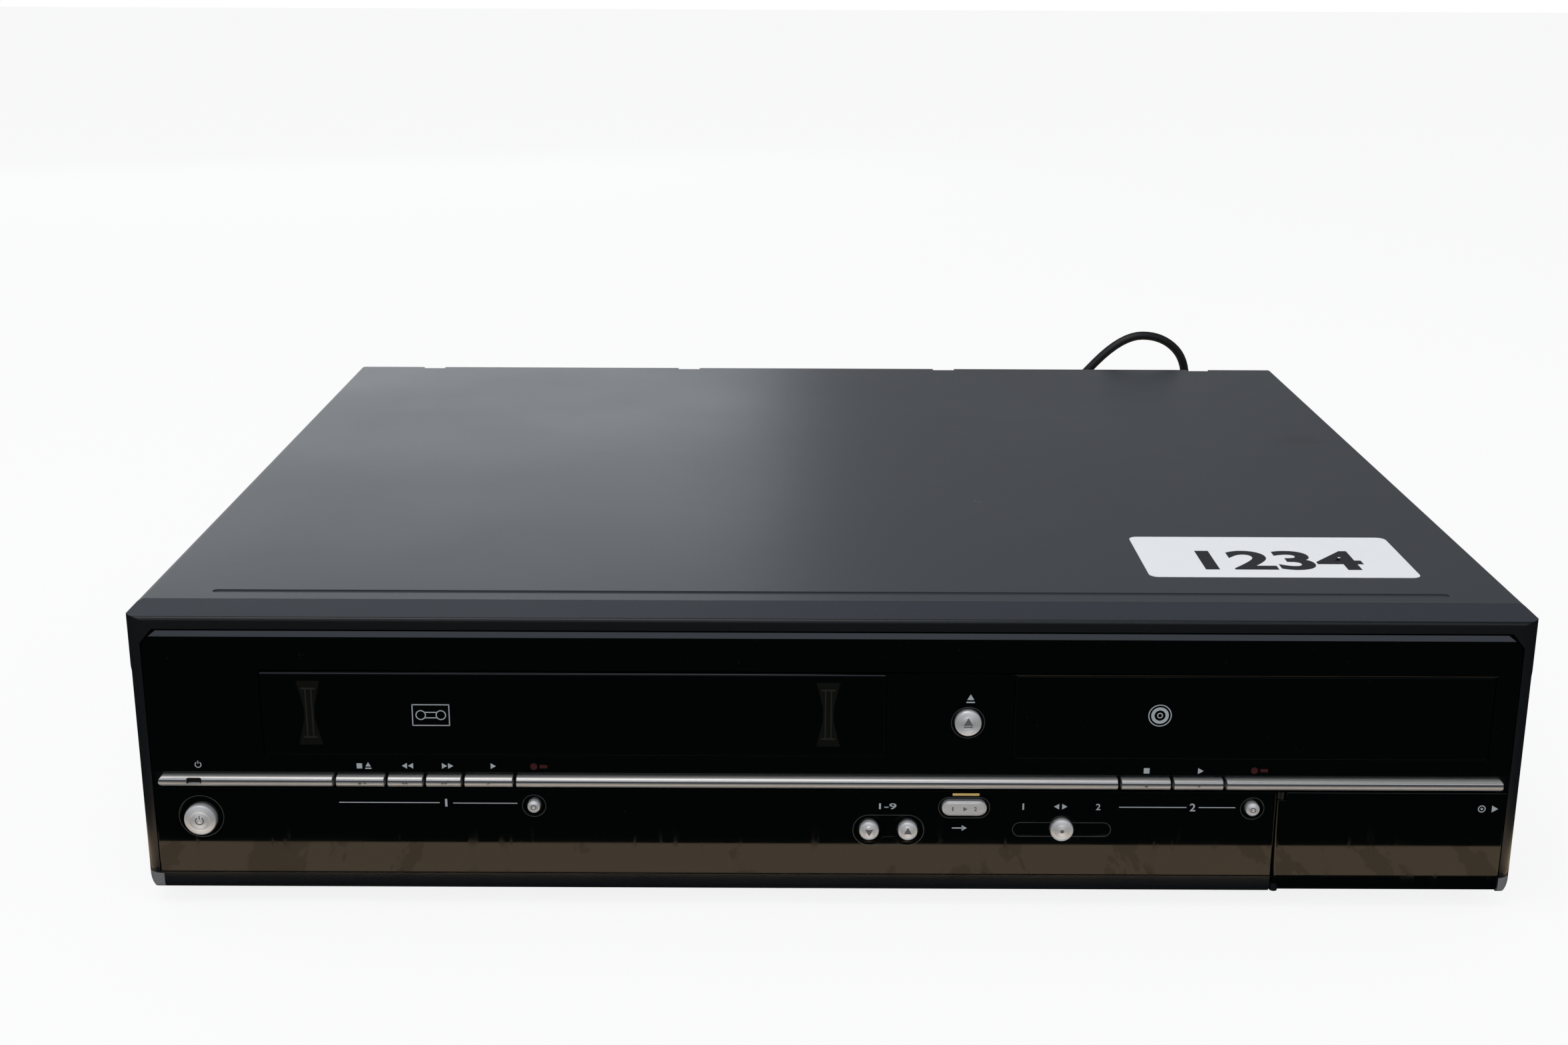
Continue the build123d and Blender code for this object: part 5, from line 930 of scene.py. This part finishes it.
CROWN = FRONT - 0.0020
STRIP_MID = 0.0373
PRESSED = {
    "vcr_stop_key": ((-0.1458, "square"), (-0.1442, "up")),
    "vcr_rewind_key": ((-0.1323, "left"), (-0.1313, "left")),
    "vcr_forward_key": ((-0.1202, "right"), (-0.1192, "right")),
    "vcr_play_key": ((-0.1060, "right"),),
    "dvd_stop_key": ((0.09775, "square"),),
    "dvd_play_key": ((0.11405, "right"),),
}
TURNS = {"right": 0, "up": 90, "left": 180, "down": 270}
for key, marks in PRESSED.items():
    shape = bmesh.new()
    for mark_x, kind in marks:
        place = on_front(mark_x, STRIP_MID, CROWN + 0.00010, TURNS.get(kind, 0))
        if kind == "square":
            bar_mark(shape, place, 0.0009, 0.0009)
        else:
            triangle(shape, place, 0.0010)
    raise_marks(shape, 0.00013)
    add_piece(key + "_mark", shape, pressed_mark, key, "silver")

# ---- round buttons ----
# Turned aluminium caps on black stems. Each cap is crowned, has fine turning marks round its own
# centre with a painted bow-tie highlight across them, and a small engraved sign.
BUTTON_PROUD = 0.0012
CAP_REAR = -0.1748
STEM_REAR = -0.17195
STEM_RADIUS = 0.0011
BUTTONS = {
    "power_button": (-0.1966, 0.0240, 0.0050),
    "vcr_record_button": (-0.0923, 0.0290, 0.0020),
    "program_down_button": (0.0122, 0.0212, 0.00305),
    "program_up_button": (0.0243, 0.0212, 0.00305),
    "select_button": (0.0724, 0.0216, 0.0036),
    "dvd_record_button": (0.1315, 0.0290, 0.00215),
    "open_close_button": (0.0421, 0.0574, 0.0041),
}


def turned_silver(name, x0, height):
    """Bright turned metal whose marks run round the line through x0 and height; a painted highlight
    brightens it above and below that line.
    """
    finish = Finish(name, Base_Color=(0.86, 0.86, 0.86), Metallic=0.5, Roughness=0.36)
    x, y, z = finish.axes()
    rise = z - (height + FEET)
    away = ((x - x0) ** 2 + rise**2) ** 0.5
    ridges = (away * 22000.0).maths("SINE")
    # painted highlight: brighter in wedges above and below the centre, as turned metal lit from
    # above
    painted_highlight_fan = (abs(rise) / away.at_least(0.0002)) ** 2
    worn = finish.grain(300, 4.0, 0.6)
    finish.set(
        Base_Color=finish.blend(0.8 * painted_highlight_fan + 0.2 * worn, (0.55, 0.55, 0.555), (0.95, 0.95, 0.95)),
        Roughness=0.28 + 0.10 * worn,
        Normal=finish.relief(ridges, 0.25, 0.00002),
    )
    return finish.holder


finish = Finish("engraved_sign", Base_Color=(0.10, 0.10, 0.11), Roughness=0.5)
finish.set(Roughness=0.45 + 0.1 * finish.grain(900))
engraved_sign = finish.holder

for name, (x0, height, radius) in BUTTONS.items():
    proud = FRONT - BUTTON_PROUD
    profile = [
        (0.0, proud - 0.00033),
        (radius * 0.30, proud - 0.00030),
        (radius * 0.52, proud - 0.00022),
        (radius * 0.56, proud - 0.00008),
        (radius * 0.60, proud - 0.00008),
        (radius * 0.64, proud - 0.00018),
        (radius - 0.00055, proud - 0.00006),
        (radius - 0.00018, proud + 0.00012),
        (radius, proud + 0.00045),
        (radius, CAP_REAR),
        (radius + 0.001, CAP_REAR),
        (radius + 0.001, CAP_REAR + 0.001),
        (STEM_RADIUS, CAP_REAR + 0.001),
        (STEM_RADIUS, STEM_REAR),
        (0.0, STEM_REAR),
    ]
    shape = bmesh.new()
    points = [shape.verts.new((x0 + r, y, height + FEET)) for r, y in profile]
    rim = [shape.edges.new(pair) for pair in zip(points, points[1:])]
    bmesh.ops.spin(
        shape,
        geom=points + rim,
        cent=(x0, 0, height + FEET),
        axis=(0, 1, 0),
        angle=2 * math.pi,
        steps=64,
        use_merge=True,
    )
    bmesh.ops.remove_doubles(shape, verts=shape.verts, dist=1e-6)
    bmesh.ops.recalc_face_normals(shape, faces=shape.faces)
    metal = turned_silver(name + "_metal", x0, height)
    add_piece(name + "_cap", shape, metal, name, "silver", name, sharp=28)
    shape = bmesh.new()
    place = on_front(x0, height, proud - 0.00020)
    raised = place @ Matrix.Translation((0, 0.0004, 0))
    upward = Matrix.Rotation(math.radians(90), 4, "Z")
    if name == "power_button":
        ring_mark(shape, place, 0.0014, 0.00035, gap=0.6)
        bar_mark(shape, place @ Matrix.Translation((0, 0.0011, 0)), 0.00035, 0.0013)
    elif name.endswith("record_button"):
        ring_mark(shape, place, 0.0009, 0.0003)
    elif name == "program_down_button":
        triangle(shape, place @ upward.inverted(), 0.0024)
    elif name == "program_up_button":
        triangle(shape, place @ upward, 0.0024)
    elif name == "open_close_button":
        triangle(shape, raised @ upward, 0.0028)
        bar_mark(shape, place @ Matrix.Translation((0, -0.0009, 0)), 0.0026, 0.0004)
    else:
        bmesh.ops.create_circle(shape, cap_ends=True, segments=24, radius=0.0006, matrix=place)
    raise_marks(shape, 0.00016)
    add_piece(name + "_sign", shape, engraved_sign, name, "silver")

# ---- dubbing button ----
# A long pill-shaped cap of the same metal, marked with an arrow from the first unit to the second.
finish = Finish("pill_metal", Base_Color=(0.74, 0.73, 0.71), Metallic=0.5, Roughness=0.3)
worn = finish.grain(200, 4.0, 0.6, stretch=(0.2, 1, 4))
finish.set(
    Base_Color=finish.blend(worn, (0.62, 0.61, 0.60), (0.78, 0.77, 0.76)),
    Roughness=0.26 + 0.12 * worn,
)
shape = eased("dubbing_button", 0.00025, 3)
pill = add_piece(
    "dubbing_cap", shape, finish.holder, "dubbing_button", "silver", "dubbing_button"
)
level(pill)


def print_words(shape, words, x, heights, y):
    """Adds plain characters to the flat marks of one print."""
    drawn = lettered(words, x, heights, 0.012)
    bmesh.ops.transform(drawn, matrix=on_front(0, 0, y), verts=drawn.verts)
    held = bpy.data.meshes.new("held")
    drawn.to_mesh(held)
    drawn.free()
    shape.from_mesh(held)
    bpy.data.meshes.remove(held)


pill_face = FRONT - BUTTON_PROUD
shape = bmesh.new()
triangle(shape, on_front(0.0418, 0.02895, pill_face), 0.0014)
for words, span in (("1", (0.0379, 0.0383)), ("2", (0.0447, 0.0456))):
    print_words(shape, words, span, (0.0283, 0.0297), pill_face)
raise_marks(shape, 0.00004)
add_piece("dubbing_mark", shape, engraved_sign, "dubbing_button", "silver")

# ---- printed marks ----
# White screen-printed signs on the windows: the transport signs over the keys, and numbers for the
# two units with a thin line each side. A plain cassette is printed on the door and a disc on the
# tray's front, and they move with these. Record signs are dark red.
finish = Finish("white_print", Base_Color=(0.42, 0.45, 0.46), Roughness=0.4)
finish.set(Base_Color=finish.blend(finish.grain(2500), (0.26, 0.29, 0.30), (0.40, 0.43, 0.44)))
white_print = finish.holder
finish = Finish("red_print", Base_Color=(0.12, 0.004, 0.006), Roughness=0.4)
reds = ((0.035, 0.002, 0.003), (0.060, 0.003, 0.004))
finish.set(Base_Color=finish.blend(finish.grain(2500), *reds))
red_print = finish.holder

PRINT = 0.00002
FACE = FRONT - 0.000005
TRIANGLES = (  # x, height, turn, size
    (-0.1433, 0.0425, 90, 0.0016),
    (-0.1318, 0.0423, 180, 0.0018),
    (-0.1299, 0.0423, 180, 0.0018),
    (-0.1199, 0.0423, 0, 0.0018),
    (-0.1180, 0.0423, 0, 0.0018),
    (-0.1048, 0.0423, 0, 0.0018),
    (0.1144, 0.0416, 0, 0.0019),
    (0.0427, 0.0655, 90, 0.0021),
    (0.0417, 0.0220, 0, 0.0018),
    (0.0708, 0.0294, 180, 0.0018),
    (0.0728, 0.0294, 0, 0.0018),
)
BARS = (  # x, height, length, thickness
    (-0.1460, 0.0422, 0.0017, 0.0017),
    (-0.1433, 0.0414, 0.0019, 0.0004),
    (0.0979, 0.0416, 0.0018, 0.0018),
    (-0.1960, 0.0432, 0.00028, 0.0010),
    (0.0427, 0.0641, 0.0026, 0.0004),
    (0.0398, 0.0220, 0.0034, 0.0004),
    (-0.13735, 0.0299, 0.0313, 0.00028),
    (-0.1075, 0.0298, 0.0200, 0.00028),
    (0.1005, 0.0293, 0.0210, 0.00028),
    (0.1205, 0.0293, 0.0114, 0.00028),
)
NUMBERS = (  # what is printed, its ends, its foot and top
    ("1", (-0.1200, -0.1193), (0.0286, 0.0312)),
    ("2", (0.1120, 0.1138), (0.0280, 0.0306)),
    ("1", (0.0599, 0.0604), (0.0283, 0.0304)),
    ("2", (0.0828, 0.0842), (0.0283, 0.0304)),
    ("1-9", (0.0152, 0.0206), (0.0283, 0.0303)),
)
shape = bmesh.new()
for x0, height, turn, side in TRIANGLES:
    triangle(shape, on_front(x0, height, FACE, turn), side)
for x0, height, wide, high in BARS:
    bar_mark(shape, on_front(x0, height, FACE), wide, high)
ring_mark(shape, on_front(-0.1960, 0.0424, FACE), 0.00105, 0.00028, gap=0.6)
for words, span, heights in NUMBERS:
    print_words(shape, words, span, heights, FACE)
raise_marks(shape, PRINT)
add_piece("printed_signs", shape, white_print, "chassis", "gloss_black")

FRAME_LINE = 0.0003
SIGN_WIDE = 0.0116
SIGN_HIGH = 0.0068
shape = bmesh.new()
cassette = on_front(-0.1231, 0.0592, FACE)
for side in (-1, 1):
    edge = Matrix.Translation((0, side * SIGN_HIGH / 2, 0))
    bar_mark(shape, cassette @ edge, SIGN_WIDE, FRAME_LINE)
    edge = Matrix.Translation((side * (SIGN_WIDE - FRAME_LINE) / 2, 0, 0))
    bar_mark(shape, cassette @ edge, FRAME_LINE, SIGN_HIGH)
    bar_mark(shape, cassette @ Matrix.Translation((0, side * 0.0009, 0)), 0.0038, FRAME_LINE)
    ring_mark(shape, cassette @ Matrix.Translation((side * 0.0031, 0, 0)), 0.0016, FRAME_LINE)
raise_marks(shape, PRINT)
add_piece("cassette_sign", shape, white_print, "cassette_door", "smoked")

shape = bmesh.new()
disc = on_front(0.1010, 0.0600, FACE)
ring_mark(shape, disc, 0.0036, FRAME_LINE, segments=48)
ring_mark(shape, disc, 0.0027, 0.0010, segments=48)
ring_mark(shape, disc, 0.0009, FRAME_LINE)
raise_marks(shape, PRINT)
add_piece("disc_sign", shape, white_print, "tray", "gloss_black")

shape = bmesh.new()
for x0, height in ((-0.0920, 0.0422), (0.1313, 0.0418)):
    ring_mark(shape, on_front(x0, height, FACE), 0.0011, 0.0011 * 0.98)
    bar_mark(shape, on_front(x0 + 0.0030, height, FACE), 0.0024, 0.0011)
raise_marks(shape, PRINT)
add_piece("record_signs", shape, red_print, "chassis", "gloss_black")

FLAP_DOT = on_front(0.2030, 0.0292, FACE)
shape = bmesh.new()
triangle(shape, on_front(0.2068, 0.0292, FACE), 0.0022)
ring_mark(shape, FLAP_DOT, 0.0012, FRAME_LINE)
bmesh.ops.create_circle(shape, cap_ends=True, segments=16, radius=0.0004, matrix=FLAP_DOT)
raise_marks(shape, PRINT)
add_piece("flap_sign", shape, white_print, "av_flap", "gloss_black")

# ---- dish rims ----
# Thin grey lines round the edges of the dished places about the buttons, pressed in the windows:
# a painted highlight where these edges catch the light.
RIM = 0.00022
ROUND_RIMS = (  # x, height, radius, corners
    (-0.1963, 0.0250, 0.00707, 64),
    (-0.0923, 0.0290, 0.00377, 48),
    (0.1315, 0.0290, 0.00377, 48),
    (0.0421, 0.0574, 0.00522, 48),
)
LONG_RIMS = (  # x, height, length, width, corner
    (0.01825, 0.0212, 0.0224, 0.0104, 0.0051),
    (0.0724, 0.0216, 0.0309, 0.0049, 0.0024),
    (0.04175, 0.02895, 0.0162, 0.0072, 0.0035),
)


def outline_mark(shape, place, wide, high, radius, width):
    """A flat line round a rectangle with rounded corners."""
    made = bar_mark(shape, place, wide, high)
    corners = bmesh.ops.bevel(
        shape,
        geom=made["verts"],
        offset=radius,
        segments=10,
        profile=0.5,
        affect="VERTICES",
        material=-1,
    )
    face = max(shape.faces, key=lambda f: len(set(f.verts) & set(corners["verts"])))
    bmesh.ops.inset_individual(shape, faces=[face], thickness=width)
    bmesh.ops.delete(shape, geom=[face], context="FACES_ONLY")


# painted highlight: flat grey lines laid on the windows round each dish
finish = Finish("painted_rim_highlight", Base_Color=(0.035, 0.036, 0.034), Roughness=0.2)
highlight_greys = ((0.014, 0.014, 0.013), (0.060, 0.060, 0.056))
finish.set(Base_Color=finish.blend(finish.grain(180), *highlight_greys))
shape = bmesh.new()
for x0, height, wide, high, corner in LONG_RIMS:
    outline_mark(shape, on_front(x0, height, FACE), wide, high, corner, RIM)
for x0, height, radius, corners in ROUND_RIMS:
    ring_mark(shape, on_front(x0, height, FACE), radius, RIM, segments=corners)
raise_marks(shape, PRINT)
add_piece("dish_rim_highlights", shape, finish.holder, "chassis", "gloss_black")

# ---- dubbing reflection bar ----
# A narrow amber bar over the dubbing button, with bevelled edges; its bright amber colour is a
# painted reflection of a warm lamp.
# painted reflection: bright amber colour standing in for a warm lamp's glint above the button
finish = Finish("amber_painted_reflection", Base_Color=(0.62, 0.43, 0.14), Roughness=0.15)
finish.set(Base_Color=finish.blend(finish.grain(400), (0.50, 0.33, 0.09), (0.70, 0.50, 0.18)))
REFLECTION_BAR_SIZE = (0.0084, 0.0008, 0.0004)
shape = bmesh.new()
place = on_front(0.0422, 0.0334) @ Matrix.Diagonal((*REFLECTION_BAR_SIZE, 1))
bmesh.ops.create_cube(shape, size=1, matrix=place)
bmesh.ops.bevel(
    shape, geom=shape.edges[:], offset=0.00015, segments=2, profile=0.5, affect="EDGES", material=-1
)
add_piece("dubbing_painted_reflection_bar", shape, finish.holder, "chassis", "gloss_black")

# ---- front sockets ----
# Three phono sockets, yellow, white and red, and a black round one, behind the flap.
ROW_MIDDLE = 0.1767
ROW_PITCH = 0.015
ROW_HEIGHT = 0.023
row_x = [ROW_MIDDLE + ROW_PITCH * (i - 1.5) for i in range(4)]
row_z = [ROW_HEIGHT] * 4
tints = [SOCKET_YELLOW, SOCKET_WHITE, SOCKET_RED, MOULDED_BLACK]
dress(
    "front_sockets",
    socket_finish("front_socket_row", row_x, row_z, tints, BARREL_RADIUS, -0.1746, -1),
)

size = {"cad": [list(v) for v in cad_box], "visual": [list(v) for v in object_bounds()]}
